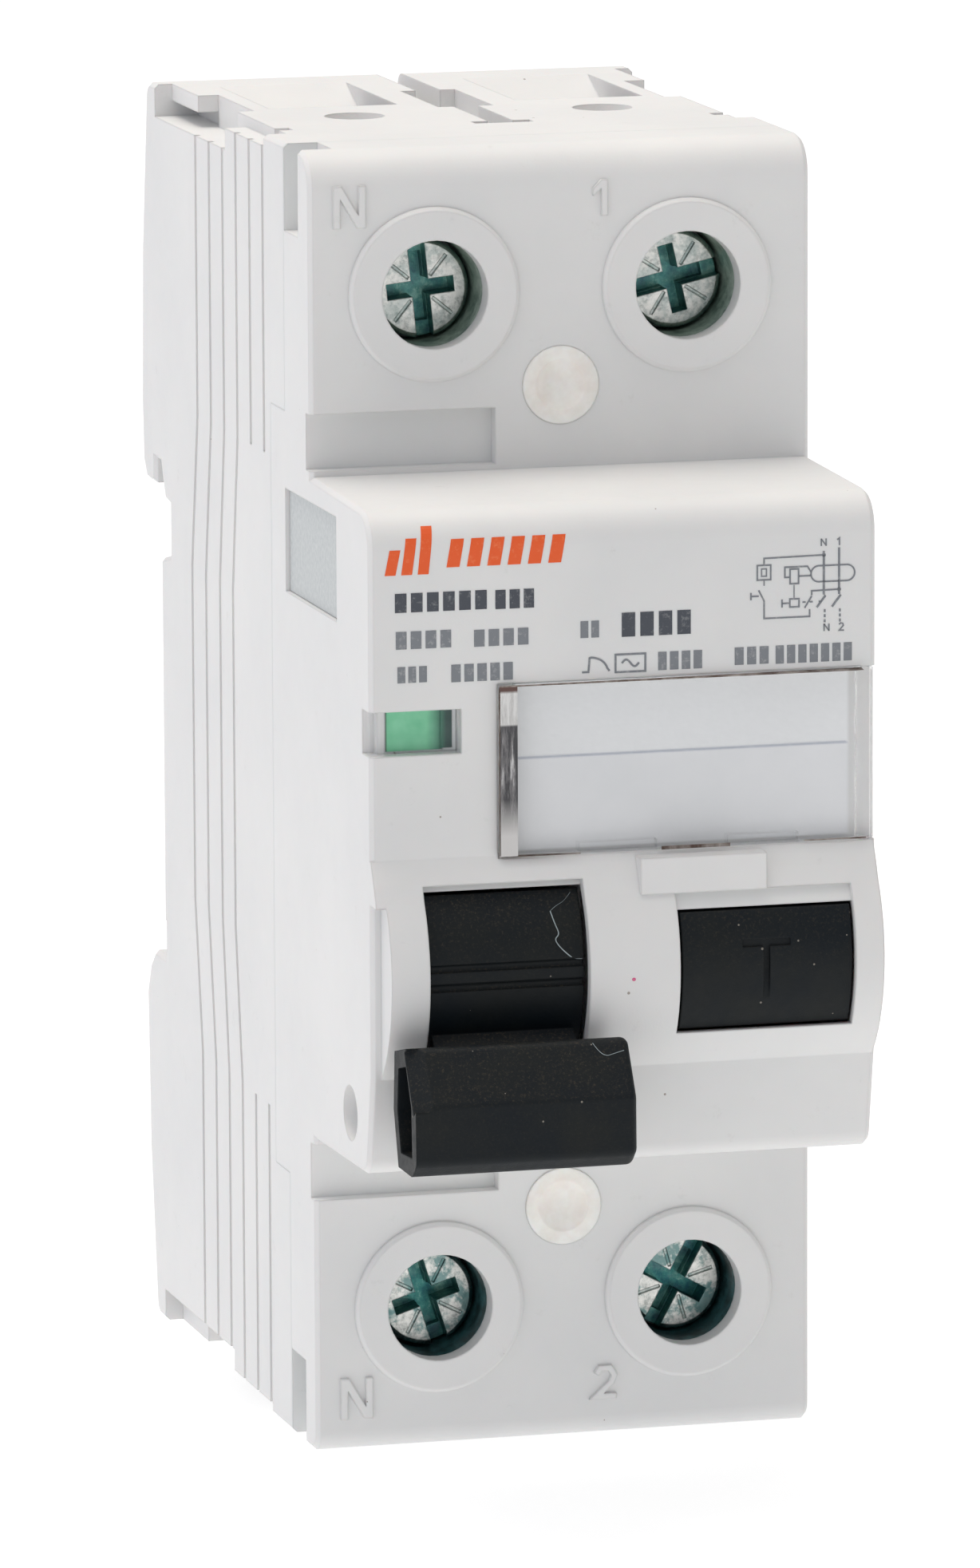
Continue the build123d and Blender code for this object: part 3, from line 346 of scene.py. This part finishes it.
def shaded_well_wall():
    """Steel wall of a screw's well under a green film of grease, with painted shade: pale green in the
    upper wells, nearly black in the lower ones.
    """
    m = Shader("shaded_well_wall")
    film = m.noise(1.4, 5.0, 0.7)
    upper = m.ramp(film, (0.38, (0.13, 0.20, 0.165)), (0.62, (0.36, 0.46, 0.39)))
    lower = m.ramp(film, (0.42, (0.014, 0.036, 0.040)), (0.62, (0.045, 0.14, 0.15)))
    # painted shade: the lower wells' walls take the nearly black tones
    m.colour(m.mix(m.along("Z", LOWER_Z, UPPER_Z), lower, upper))
    m.rough(m.span(m.noise(0.5, 4.0), 0.25, 0.5))
    m.bump(m.noise(0.5, 4.0), 0.02, 0.5)
    return m.material


def flag_end(start_mm):
    """Far end of the flag's slot, in the shadow of the frame: green near the flag, then almost black."""
    m = Shader("flag_end")
    near = m.ramp(m.noise(0.5), (0.3, (0.060, 0.200, 0.140)), (0.7, (0.075, 0.230, 0.165)))
    far = m.ramp(m.noise(0.5), (0.3, (0.035, 0.080, 0.070)), (0.7, (0.060, 0.110, 0.100)))
    m.colour(m.mix(m.along("X", start_mm, start_mm + FLAG_END_FADE), near, far))
    m.rough(m.span(m.noise(0.5), 0.35, 0.5))
    m.bump(m.noise(0.3), 0.01, 0.5)
    return m.material


def ink(name, tone, worn):
    """Printing ink, thinner in places so that the moulding shows through."""
    m = Shader(name)
    m.colour(m.ramp(m.noise(0.35, 4.0, 0.7), (0.30, worn), (0.46, tone)))
    m.rough(m.span(m.noise(0.5), 0.45, 0.65))
    m.bump(m.noise(0.2, 3.0), 0.004, 0.5)
    return m.material


def edge_dirt_and_shadow():
    """Brown line along an edge, fading in and out: dirt, with painted shadow in the gap."""
    m = Shader("edge_dirt_and_shadow")
    patches = m.noise(1.4, 5.0, 0.7, (1, 1, 0.4))
    m.colour(m.ramp(patches, (0.40, (0.09, 0.055, 0.04)), (0.66, (0.40, 0.36, 0.33))))
    m.rough(m.span(m.noise(0.4), 0.6, 0.85))
    m.bump(m.noise(0.3, 3.0), 0.01, 0.6)
    return m.material


def reflection_streaked_wall():
    """Side wall of the clear cover, seen end on, painted with its reflections: dark streaks along it and a
    pale upper third.
    """
    m = Shader("reflection_streaked_wall")
    reflection_streak = m.noise(1.1, 5.0, 0.7, (3.0, 1, 0.35))
    dark = ((0.46, (0.05, 0.05, 0.055)), (0.60, (0.20, 0.195, 0.20)), (0.72, (0.66, 0.66, 0.66)))
    lower = m.mix(m.along("Z", *WALL_FADE_Z), m.ramp(reflection_streak, *dark), (0.62, 0.61, 0.60))
    upper = m.ramp(reflection_streak, (0.35, (0.42, 0.41, 0.40)), (0.55, (0.72, 0.72, 0.71)))
    tone = m.mix(m.along("Z", *WALL_PALE_Z), lower, upper)
    m.colour(m.mix(m.along("Z", *WALL_CORNER_Z), tone, (0.11, 0.055, 0.045)))
    m.rough(m.span(m.noise(0.6), 0.3, 0.6))
    m.bump(m.noise(0.6, 3.0, 0.5, (3, 1, 0.4)), 0.02, 0.6)
    return m.material


def fibre_material():
    """Blue-grey textile fibre."""
    m = Shader("lint")
    m.colour(m.ramp(m.noise(0.8, 3.0), (0.3, (0.20, 0.24, 0.25)), (0.7, (0.42, 0.50, 0.52))))
    m.rough(m.span(m.noise(0.5), 0.6, 0.9))
    return m.material


def metal(name, dark, light, rough=(0.22, 0.42), grain=12):
    """Bare metal with drawing marks. grain is how much finer they are along Z."""
    m = Shader(name)
    marks = (1, 1, grain)
    m.colour(m.ramp(m.noise(1.2, 4.0, 0.6, marks), (0.3, dark), (0.7, light)))
    m.rough(m.span(m.noise(0.8, 4.0, 0.6, marks), *rough))
    m.bump(m.noise(0.3, 3.0, 0.6, marks), 0.006, 0.5)
    m.set(Metallic=1.0)
    return m.material


def plastic(name, dark, light, rough=(0.4, 0.6)):
    """Moulded plastic between two tones with a fine grain."""
    m = Shader(name)
    m.colour(m.ramp(m.noise(1.5, 4.0, 0.6), (0.3, dark), (0.7, light)))
    m.rough(m.span(m.noise(0.7, 3.0), *rough))
    m.bump(m.noise(0.2), 0.01, 0.6, edge_mm=0.1)
    return m.material


METALS = {
    "steel": ((0.34, 0.34, 0.35), (0.52, 0.52, 0.53)),
    "copper": ((0.60, 0.26, 0.14), (0.78, 0.40, 0.24)),
    "silver_contact": ((0.62, 0.61, 0.58), (0.80, 0.79, 0.76)),
    "core_metal": ((0.22, 0.23, 0.25), (0.36, 0.37, 0.40), (0.2, 0.35), 30),
    "enamel_wire": ((0.42, 0.13, 0.04), (0.60, 0.22, 0.07), (0.15, 0.3), 20),
}
PLASTICS = {
    "dark_plastic": ((0.045, 0.03, 0.022), (0.075, 0.055, 0.045)),
    "blue_insulation": ((0.015, 0.06, 0.30), (0.03, 0.09, 0.40)),
    "brown_insulation": ((0.10, 0.04, 0.02), (0.16, 0.07, 0.035)),
    "board_green": ((0.01, 0.11, 0.05), (0.02, 0.17, 0.08), (0.2, 0.35)),
    "part_black": ((0.012, 0.012, 0.014), (0.03, 0.03, 0.032)),
    "resistor_body": ((0.45, 0.34, 0.20), (0.58, 0.46, 0.30), (0.2, 0.35)),
}


def make_materials():
    """The finish of each of the record's material slots."""
    green = ((0.18, 0.60, 0.34), (0.26, 0.70, 0.44), (0.05, 0.14, 0.12))
    materials = {
        "white_shell": shell_plastic(),
        "plug_plastic": plug_plastic(),
        "grey_plastic": panel_plastic(),
        "black_plastic": black_plastic(),
        "clear_plastic": clear_plastic("clear_plastic", 0.45),
        "green_flag": flag_plastic("green_flag", *green),
        "red_flag": flag_plastic("red_flag", (0.45, 0.02, 0.015), (0.60, 0.04, 0.03)),
        "label_paper": label_paper(),
        "zinc_steel": zinc_steel(),
    }
    materials.update({name: metal(name, *finish) for name, finish in METALS.items()})
    materials.update({name: plastic(name, *finish) for name, finish in PLASTICS.items()})
    return materials


def dress_cad_nodes(materials):
    """Gives each CAD node its slot's finish, and two of them one of their own."""
    slots = {row["node"]: row["material_slot"] for row in frame["record"]["subparts"]}
    own = {"well_sleeves": shaded_well_wall(), "indicator_window": clear_plastic("clear_window", 0.25)}
    for node, slot in slots.items():
        shown = frame["nodes"][node]
        shown.data.materials.clear()
        shown.data.materials.append(own.get(node, materials[slot]))


# ---------------------------------------------------------------- springs
STEPS_PER_TURN = 18


def coil_mesh(name, foot, along, radius, length, turns, wire):
    """Round wire wound from foot along an axis."""
    across = along.orthogonal().normalized()
    aside = along.cross(across)
    curve = bpy.data.curves.new(name, "CURVE")
    curve.dimensions = "3D"
    curve.bevel_depth = wire
    curve.bevel_resolution = 3
    curve.use_fill_caps = True
    spline = curve.splines.new("POLY")
    steps = STEPS_PER_TURN * turns
    spline.points.add(steps)
    for step, point in enumerate(spline.points):
        angle = 2 * math.pi * step / STEPS_PER_TURN
        ring = radius * (math.cos(angle) * across + math.sin(angle) * aside)
        point.co = (*(foot + ring + along * (length * step / steps)), 1.0)
    wound = bpy.data.objects.new(name, curve)
    mesh = bpy.data.meshes.new_from_object(wound)
    bpy.data.objects.remove(wound)
    return mesh


def add_spring(node, axis, wire, turns, material):
    """Coil in place of the CAD's rigid one, fixed to the housing."""
    low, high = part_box(node)
    along = Vector(axis)
    length = (high - low).dot(along) - 2 * wire
    radius = (high.x - low.x) / 2 - wire
    foot = (low + high) / 2 - along * (length / 2)
    mesh = coil_mesh(node + "_line", foot, along, radius, length, turns, wire)
    mesh.materials.clear()
    mesh.materials.append(material)
    piece = bpy.data.objects.new(node + "_coil", mesh)
    bpy.context.scene.collection.objects.link(piece)
    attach(piece, "housing")
    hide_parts(node)
    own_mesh(piece)


def add_springs(material):
    """The test button's spring lies along Y behind it, and the rail clip's stands along Z under its tab."""
    add_spring("test_spring", axis=(0, 1, 0), wire=0.25 * MM, turns=5,
               material=material)
    add_spring("clip_spring", axis=(0, 0, 1), wire=0.28 * MM, turns=7,
               material=material)


# ---------------------------------------------------------------- prints laid on the mouldings
INK_LIFT = 0.03 * MM          # how far a print stands proud
INK_SINK = 0.02 * MM          # and how far it reaches into the surface
STEP = 0.3 * MM               # spacing of its points where the surface curves
LID_PIVOT_REACH = 0.85        # how far the label cover's pivots reach past its plate, in mm
SHARPEST_MITRE = 0.4          # a line widens at a corner by no more than the inverse of this
SAME_PLACE = 1e-9
BLOCK_SHARE = 0.72            # share of a character's pitch that its block fills
SLANT = 0.35                  # how far an orange bar leans over its height, in mm


def surface_y(node, x, z):
    """Front surface of a CAD node at (x, z)."""
    found, place, _, _ = frame["nodes"][node].ray_cast(Vector((x, -1.0, z)), Vector((0.0, 1.0, 0.0)))
    return place.y if found else None


def laid_print(name, outlines, material, node="front_cover", body="housing",
               curved=False):
    """Thin print made of outlines given as (x, z) in mm, laid on the front of a CAD node.

    Where there is only a gap behind a point, it takes the foremost level of the others.
    """
    bm = bmesh.new()
    for outline in outlines:
        corners = [bm.verts.new((x * MM, 0.0, z * MM)) for x, z in outline]
        bm.faces.new(corners)
    if curved:
        low = min(v.co.z for v in bm.verts)
        high = max(v.co.z for v in bm.verts)
        for index in range(1, int((high - low) / STEP) + 1):
            cut = (0, 0, low + index * STEP)
            geometry = bm.verts[:] + bm.edges[:] + bm.faces[:]
            bmesh.ops.bisect_plane(bm, geom=geometry, plane_co=cut, plane_no=(0, 0, 1))
    found = {vertex: surface_y(node, vertex.co.x, vertex.co.z) for vertex in bm.verts}
    level = min(y for y in found.values() if y is not None)
    for vertex, y in found.items():
        vertex.co.y = (level if y is None else y) + INK_SINK
    raised = bmesh.ops.extrude_face_region(bm, geom=bm.faces[:])
    for item in raised["geom"]:
        if isinstance(item, bmesh.types.BMVert):
            item.co.y -= INK_SINK + INK_LIFT
    bmesh.ops.recalc_face_normals(bm, faces=bm.faces[:])
    mesh = bpy.data.meshes.new(name)
    bm.to_mesh(mesh)
    bm.free()
    mesh.materials.append(material)
    piece = bpy.data.objects.new(name, mesh)
    bpy.context.scene.collection.objects.link(piece)
    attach(piece, body)


def ribbon(points, width, closed=False):
    """Quads of a line of that width through the points, mitred at its corners."""
    count = len(points)
    left, right = [], []
    for index, (x, z) in enumerate(points):
        before = points[index - 1] if index or closed else points[0]
        after = points[(index + 1) % count] if index + 1 < count or closed else points[-1]
        to_here = Vector((x - before[0], z - before[1]))
        from_here = Vector((after[0] - x, after[1] - z))
        if to_here.length < SAME_PLACE:
            to_here = from_here
        if from_here.length < SAME_PLACE:
            from_here = to_here
        across = to_here.normalized() + from_here.normalized()
        across = Vector((-across.y, across.x)).normalized()
        lean = max(SHARPEST_MITRE, across.dot(Vector((-to_here.y, to_here.x)).normalized()))
        offset = across * (width / 2 / lean)
        left.append((x + offset.x, z + offset.y))
        right.append((x - offset.x, z - offset.y))
    last = count if closed else count - 1
    return [[left[i], left[(i + 1) % count], right[(i + 1) % count], right[i]] for i in range(last)]


def rectangle(x0, x1, z0, z1, lean=0.0):
    """Four corners, with the top moved right by lean."""
    return [(x0, z0), (x1, z0), (x1 + lean, z1), (x0 + lean, z1)]


def arc_points(x, z, radius_x, radius_z, start, end, count):
    """Points along part of an ellipse, from one angle to another in degrees."""
    steps = [math.radians(start + (end - start) * i / count) for i in range(count + 1)]
    return [(x + radius_x * math.cos(t), z + radius_z * math.sin(t)) for t in steps]


def dot(x, z, radius_x, radius_z):
    """Outline of a filled round spot."""
    return arc_points(x, z, radius_x, radius_z, 0, 330, 11)


def word_blocks(x0, x1, z0, z1, count):
    """A word stood in for by one small block for each of its characters."""
    pitch = (x1 - x0) / (count - 1 + BLOCK_SHARE)
    return [rectangle(x0 + i * pitch, x0 + (i + BLOCK_SHARE) * pitch, z0, z1) for i in range(count)]


def orange_mark(material):
    """Plain decoration: three slanted bars and a row of slanted blocks."""
    bars, blocks = [], []
    for index in range(3):
        x = -16.7 + 1.15 * index
        bars.append(rectangle(x, x + 0.75, 18.6, 20.3 + 0.75 * index, SLANT))
    for index in range(6):
        x = -12.4 + 1.42 * index
        blocks.append(rectangle(x, x + 0.9, 19.0, 20.9, SLANT))
    laid_print("mark_orange", bars + blocks, material, curved=True)


# Each word: its start and end along X, its foot and top along Z, in mm, and how many characters it has.
FIRST_ROW = ((-16.0, -9.6, 16.05, 17.35, 6), (-9.0, -6.3, 16.0, 17.3, 3))
SMALL_ROWS = (
    (-15.95, -12.1, 13.55, 14.75, 4), (-10.5, -6.7, 13.5, 14.65, 4),
    (-15.85, -13.8, 11.25, 12.35, 3), (-12.1, -7.8, 11.15, 12.35, 5),
    (-3.05, -1.75, 13.75, 14.9, 2), (2.4, 5.5, 11.3, 12.55, 4),
    (7.8, 10.2, 11.4, 12.6, 3), (10.7, 16.1, 11.35, 12.6, 7),
)
LARGE_ROW = ((-0.15, 4.7, 13.7, 15.35, 4),)


def rating_rows(dark, grey):
    """Rows of blocks where a device's ratings are printed."""
    for name, words, material in (
        ("print_row_first", FIRST_ROW, dark),
        ("print_rows", SMALL_ROWS, grey),
        ("print_row_large", LARGE_ROW, dark),
    ):
        laid_print(name, [block for word in words for block in word_blocks(*word)], material)


def surge_symbols(grey):
    """Standard symbols for a surge pulse and for alternating residual current."""
    line = 0.14
    pulse = [(-2.95, 11.4), (-2.5, 11.4), (-2.42, 12.35)]
    pulse += arc_points(-2.35, 11.4, 1.2, 0.98, 88, 14, 10)
    pulse += [(-1.02, 11.42)]
    shapes = ribbon(pulse, line)
    shapes += ribbon(rectangle(-0.6, 1.5, 11.3, 12.5), line, closed=True)
    wave, steps = [], 20
    for step in range(steps + 1):
        share = step / steps
        wave.append((-0.15 + 1.2 * share, 11.9 + 0.24 * math.sin(2 * math.pi * share)))
    laid_print("print_symbols", shapes + ribbon(wave, line), grey)


# The wiring diagram, in mm.
LEFT_WIRE, RIGHT_WIRE = 14.11, 15.19
THIN, THINNEST = 0.11, 0.08


def conductors():
    """Two conductors with a switch blade in each and a dashed end below."""
    thick = 0.15
    shapes = []
    for x, top in ((LEFT_WIRE, 18.95), (RIGHT_WIRE, 19.15)):
        shapes += ribbon([(x, top), (x, 15.95)], thick)
        shapes += ribbon([(x + 0.12, 15.9), (x - 0.5, 15.1)], thick)
        for z in (14.95, 14.6, 14.25):
            shapes += ribbon([(x + 0.06, z), (x + 0.06, z - 0.2)], 0.13)
    return shapes


def ring_and_relay():
    """The ring round the conductors, its winding, the relay and the tripping link."""
    ring = arc_points(15.75, 17.4, 0.55, 0.55, -90, 90, 12)
    ring += arc_points(13.75, 17.4, 0.55, 0.55, 90, 270, 12)
    shapes = ribbon(ring, THIN, closed=True)
    shapes += ribbon([(13.2, 17.55), (12.95, 17.95), (11.35, 17.95), (11.35, 17.25), (11.7, 17.25)], THIN)
    shapes += ribbon([(12.35, 17.3), (13.2, 17.3)], THIN)
    shapes += ribbon(rectangle(11.72, 12.32, 16.8, 17.8), THIN, closed=True)
    shapes += ribbon([(12.0, 16.7), (12.0, 15.8)], THINNEST)
    shapes += ribbon(rectangle(11.7, 12.35, 15.2, 15.75), THIN, closed=True)
    shapes += ribbon([(11.15, 15.2), (11.15, 15.75)], THIN)
    shapes += ribbon([(11.15, 15.47), (11.65, 15.47)], THIN)
    for x in (12.6, 13.1, 13.75):
        shapes += ribbon([(x, 15.5), (x + 0.22, 15.5)], THIN)
    return shapes


def test_path():
    """The test button and its resistor, from one conductor above the ring to the other below it."""
    shapes = ribbon([(13.25, 15.9), (12.75, 15.1)], THIN)
    shapes += ribbon(rectangle(9.4, 10.35, 17.15, 18.15), THIN, closed=True)
    shapes += ribbon(rectangle(9.7, 10.05, 17.4, 17.9), 0.09, closed=True)
    shapes += ribbon([(9.88, 18.2), (9.88, 18.62), (LEFT_WIRE, 18.68)], THIN)
    shapes += ribbon([(9.88, 17.1), (9.88, 16.75)], THINNEST)
    shapes += ribbon([(9.5, 16.45), (9.88, 15.7), (9.88, 14.5), (13.1, 14.5), (13.1, 15.0)], THIN)
    shapes += ribbon([(8.95, 16.3), (8.95, 15.8)], THIN)
    shapes += ribbon([(8.95, 16.05), (9.5, 16.05)], THIN)
    shapes += ribbon([(13.25, 15.95), (13.25, 16.25), (RIGHT_WIRE, 16.28)], THIN)
    for x, z in ((LEFT_WIRE, 18.68), (RIGHT_WIRE, 16.28)):
        shapes.append(dot(x, z, 0.14, 0.14))
    return shapes


def terminal_marks():
    """N over and under the left conductor, 1 over and 2 under the right one."""
    shapes = []
    for x, z in ((14.1, 19.3), (14.3, 13.45)):
        for side in (x - 0.17, x + 0.17):
            shapes += ribbon([(side, z), (side, z + 0.5)], 0.1)
        shapes += ribbon([(x - 0.17, z + 0.48), (x + 0.17, z + 0.02)], 0.09)
    shapes += ribbon([(15.05, 19.68), (15.22, 19.8), (15.22, 19.3)], 0.1)
    two = [(15.2, 13.85), (15.3, 13.95), (15.46, 13.92), (15.5, 13.78), (15.2, 13.45), (15.54, 13.45)]
    return shapes + ribbon(two, 0.09)


def wiring_symbol(grey):
    """Generic diagram of a two-pole residual current device."""
    shapes = conductors() + ring_and_relay() + test_path() + terminal_marks()
    laid_print("print_wiring", shapes, grey)


def lid_edges_and_wall(dirt_and_shadow, wall):
    """Brown lines along the label cover's edges, dirt with painted shadow in the gaps, and its side wall at
    the left with painted reflections.
    """
    low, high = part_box("label_cover")
    left, right = low.x / MM, high.x / MM
    bottom, top = low.z / MM + LID_PIVOT_REACH, high.z / MM - LID_PIVOT_REACH
    face = [rectangle(left - 0.12, left + 1.15, bottom + 0.05, top - 0.02)]
    laid_print("lid_wall", face, wall, "label_cover", "label_lid")
    # brown lines round the cover: dirt, with painted shadow in the gaps
    line, broad_line = 0.09, 0.24
    edges = ribbon([(left - 0.1, top - 0.1), (left - 0.1, bottom + 0.1)], line)
    edges += ribbon([(left - 0.1, top), (right - 0.9, top)], line)
    edges += ribbon([(left, bottom + 0.03), (-3.2, bottom + 0.03)], line)
    edges += ribbon([(2.5, bottom + 0.1), (7.35, bottom + 0.1)], broad_line)
    edges += ribbon([(12.6, bottom + 0.1), (17.0, bottom + 0.1)], line)
    laid_print("lid_edge_lines", edges, dirt_and_shadow, "label_cover", "label_lid")


# Fibres as the width and the points (x, z) that each follows, in mm.
LINT = {
    "lint_drum": (0.075, ((-5.5, -4.7), (-5.3, -5.5), (-5.0, -6.2), (-5.4, -6.5),
                          (-5.1, -7.0), (-4.6, -7.5), (-4.1, -7.9), (-3.5, -7.9))),
    "lint_curl": (0.025, ((-5.5, -4.7), (-5.1, -4.4), (-4.6, -4.2), (-4.2, -3.9), (-3.9, -3.6))),
    "lint_neck": (0.045, ((-4.0, -12.9), (-3.7, -13.4), (-3.2, -13.75), (-2.6, -13.6), (-1.9, -13.45))),
}


def lint(material):
    """Fibres caught on the toggle's drum and along its neck."""
    for name, (width, path) in LINT.items():
        curve = bpy.data.curves.new(name, "CURVE")
        curve.dimensions = "3D"
        curve.bevel_depth = width / 2 * MM
        curve.bevel_resolution = 2
        spline = curve.splines.new("NURBS")
        spline.points.add(len(path) - 1)
        y = None
        for point, (x, z) in zip(spline.points, path):
            y = surface_y("toggle_lever", x * MM, z * MM) or y
            point.co = (x * MM, y - width / 2 * MM, z * MM, 1.0)
        spline.order_u = 3
        spline.use_endpoint_u = True
        curve.materials.append(material)
        piece = bpy.data.objects.new(name, curve)
        bpy.context.scene.collection.objects.link(piece)
        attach(piece, "toggle")


def flag_slot_end():
    """The dark end of the window's slot, right of the green field."""
    low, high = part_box("indicator_green_field")
    right = high.x / MM
    end = [rectangle(right - 0.02, right + 0.75, low.z / MM + 0.3, high.z / MM - 0.15)]
    laid_print("flag_shadow", end, flag_end(right))


def label_fold():
    """Thin shadow under the fold of the label card."""
    fold = [rectangle(-7.2, 16.1, 5.46, 5.60)]
    shadow = ink("fold_shadow", (0.50, 0.53, 0.60), (0.66, 0.69, 0.74))
    laid_print("label_fold", fold, shadow, "label_strip")


def pink_speck():
    """Speck of pink on the cover, between the toggle and the button."""
    pink = ink("ink_pink", (0.62, 0.07, 0.22), (0.70, 0.25, 0.35))
    laid_print("pink_speck", [dot(-0.15, -9.35, 0.13, 0.12)], pink)


def add_details():
    dark = ink("ink_dark", (0.060, 0.068, 0.085), (0.20, 0.21, 0.22))
    grey = ink("ink_grey", (0.20, 0.215, 0.235), (0.34, 0.35, 0.36))
    orange_mark(ink("ink_orange", (0.80, 0.105, 0.015), (0.84, 0.18, 0.06)))
    rating_rows(dark, grey)
    surge_symbols(grey)
    wiring_symbol(grey)
    flag_slot_end()
    label_fold()
    lid_edges_and_wall(edge_dirt_and_shadow(), reflection_streaked_wall())
    pink_speck()
    lint(fibre_material())


# ---------------------------------------------------------------- stage
TENT_BASE = (0.140, 0.152, 0.168)
TENT_GLOW = (
    ("Z", 1.0, (0.76, 0.725, 0.69)),      # overhead
    ("X", -1.0, (0.31, 0.325, 0.40)),     # from the left
    ("Y", 1.0, (0.20, 0.20, 0.20)),       # from behind
)
LAMP_AT = Vector((-0.10, 0.05, 0.75))
LAMP_AIM = Vector((0, -0.03, 0))
LAMP_SIZE = (0.5, 0.4)
LAMP_WATTS = 2.85
LAMP_COLOUR = (1.0, 0.935, 0.84)
FLOOR_GAP = 3.0 * MM          # more than the rail clip reaches below the housing when it is pulled down
FLOOR_REACH = 6.0             # metres from the middle to each side


def make_floor():
    """Pale paper that glows by itself, so that it stays white under a light made for the object."""
    low = cad_box[0].z - FLOOR_GAP
    mesh = bpy.data.meshes.new("floor")
    corners = [(x * FLOOR_REACH, y * FLOOR_REACH, low) for x, y in ((-1, -1), (1, -1), (1, 1), (-1, 1))]
    mesh.from_pydata(corners, [], [(0, 1, 2, 3)])
    floor = bpy.data.objects.new("floor", mesh)
    bpy.context.scene.collection.objects.link(floor)
    m = Shader("floor_paper")
    m.colour(m.ramp(m.noise(40.0), (0.3, (0.39, 0.39, 0.39)), (0.7, (0.41, 0.41, 0.41))))
    m.set(Roughness=0.9, Emission_Color=(*WHITE, 1.0), Emission_Strength=0.72)
    mesh.materials.append(m.material)


def overhead_light():
    """Soft warm lamp straight above, which lights the tops."""
    data = bpy.data.lights.new("overhead", "AREA")
    data.shape = "RECTANGLE"
    data.size, data.size_y = LAMP_SIZE
    data.energy = LAMP_WATTS
    data.color = LAMP_COLOUR
    lamp = bpy.data.objects.new("overhead", data)
    lamp.location = LAMP_AT
    lamp.rotation_euler = (LAMP_AIM - LAMP_AT).to_track_quat("-Z", "Y").to_euler()
    bpy.context.scene.collection.objects.link(lamp)


def colour_mix(tree, blend):
    node = tree.nodes.new("ShaderNodeMix")
    node.data_type = "RGBA"
    node.blend_type = blend
    return node


def make_world():
    """A light tent: brightest overhead and warm there, cooler and bright at the left, dimmer in front.

    Seen directly it is plain white, as the floor is, so no horizon shows in a low view.
    """
    world = bpy.data.worlds.new("light_tent")
    world.use_nodes = True
    bpy.context.scene.world = world
    tree = world.node_tree
    sky = tree.nodes["Background"]
    direction = tree.nodes.new("ShaderNodeTexCoord")
    split = tree.nodes.new("ShaderNodeSeparateXYZ")
    tree.links.new(direction.outputs["Generated"], split.inputs["Vector"])
    total = None
    for axis, sign, colour in TENT_GLOW:
        ramp = tree.nodes.new("ShaderNodeMapRange")
        ramp.inputs["From Min"].default_value = 0.0
        ramp.inputs["From Max"].default_value = sign
        tree.links.new(split.outputs[axis], ramp.inputs["Value"])
        glow = colour_mix(tree, "MIX")
        glow.inputs["A"].default_value = (0.0, 0.0, 0.0, 1.0)
        glow.inputs["B"].default_value = (*colour, 1.0)
        tree.links.new(ramp.outputs["Result"], glow.inputs["Factor"])
        add = colour_mix(tree, "ADD")
        add.inputs["Factor"].default_value = 1.0
        add.inputs["A"].default_value = (*TENT_BASE, 1.0)
        if total:
            tree.links.new(total, add.inputs["A"])
        tree.links.new(glow.outputs["Result"], add.inputs["B"])
        total = add.outputs["Result"]
    seen = colour_mix(tree, "MIX")
    seen.inputs["B"].default_value = (*WHITE, 1.0)
    tree.links.new(tree.nodes.new("ShaderNodeLightPath").outputs["Is Camera Ray"], seen.inputs["Factor"])
    tree.links.new(total, seen.inputs["A"])
    tree.links.new(seen.outputs["Result"], sky.inputs["Color"])
    sky.inputs["Strength"].default_value = 1.0


make_camera()
make_world()
overhead_light()
make_floor()
materials = make_materials()
dress_cad_nodes(materials)
add_springs(materials["steel"])
add_details()

bpy.context.scene.view_settings.view_transform = "Standard"
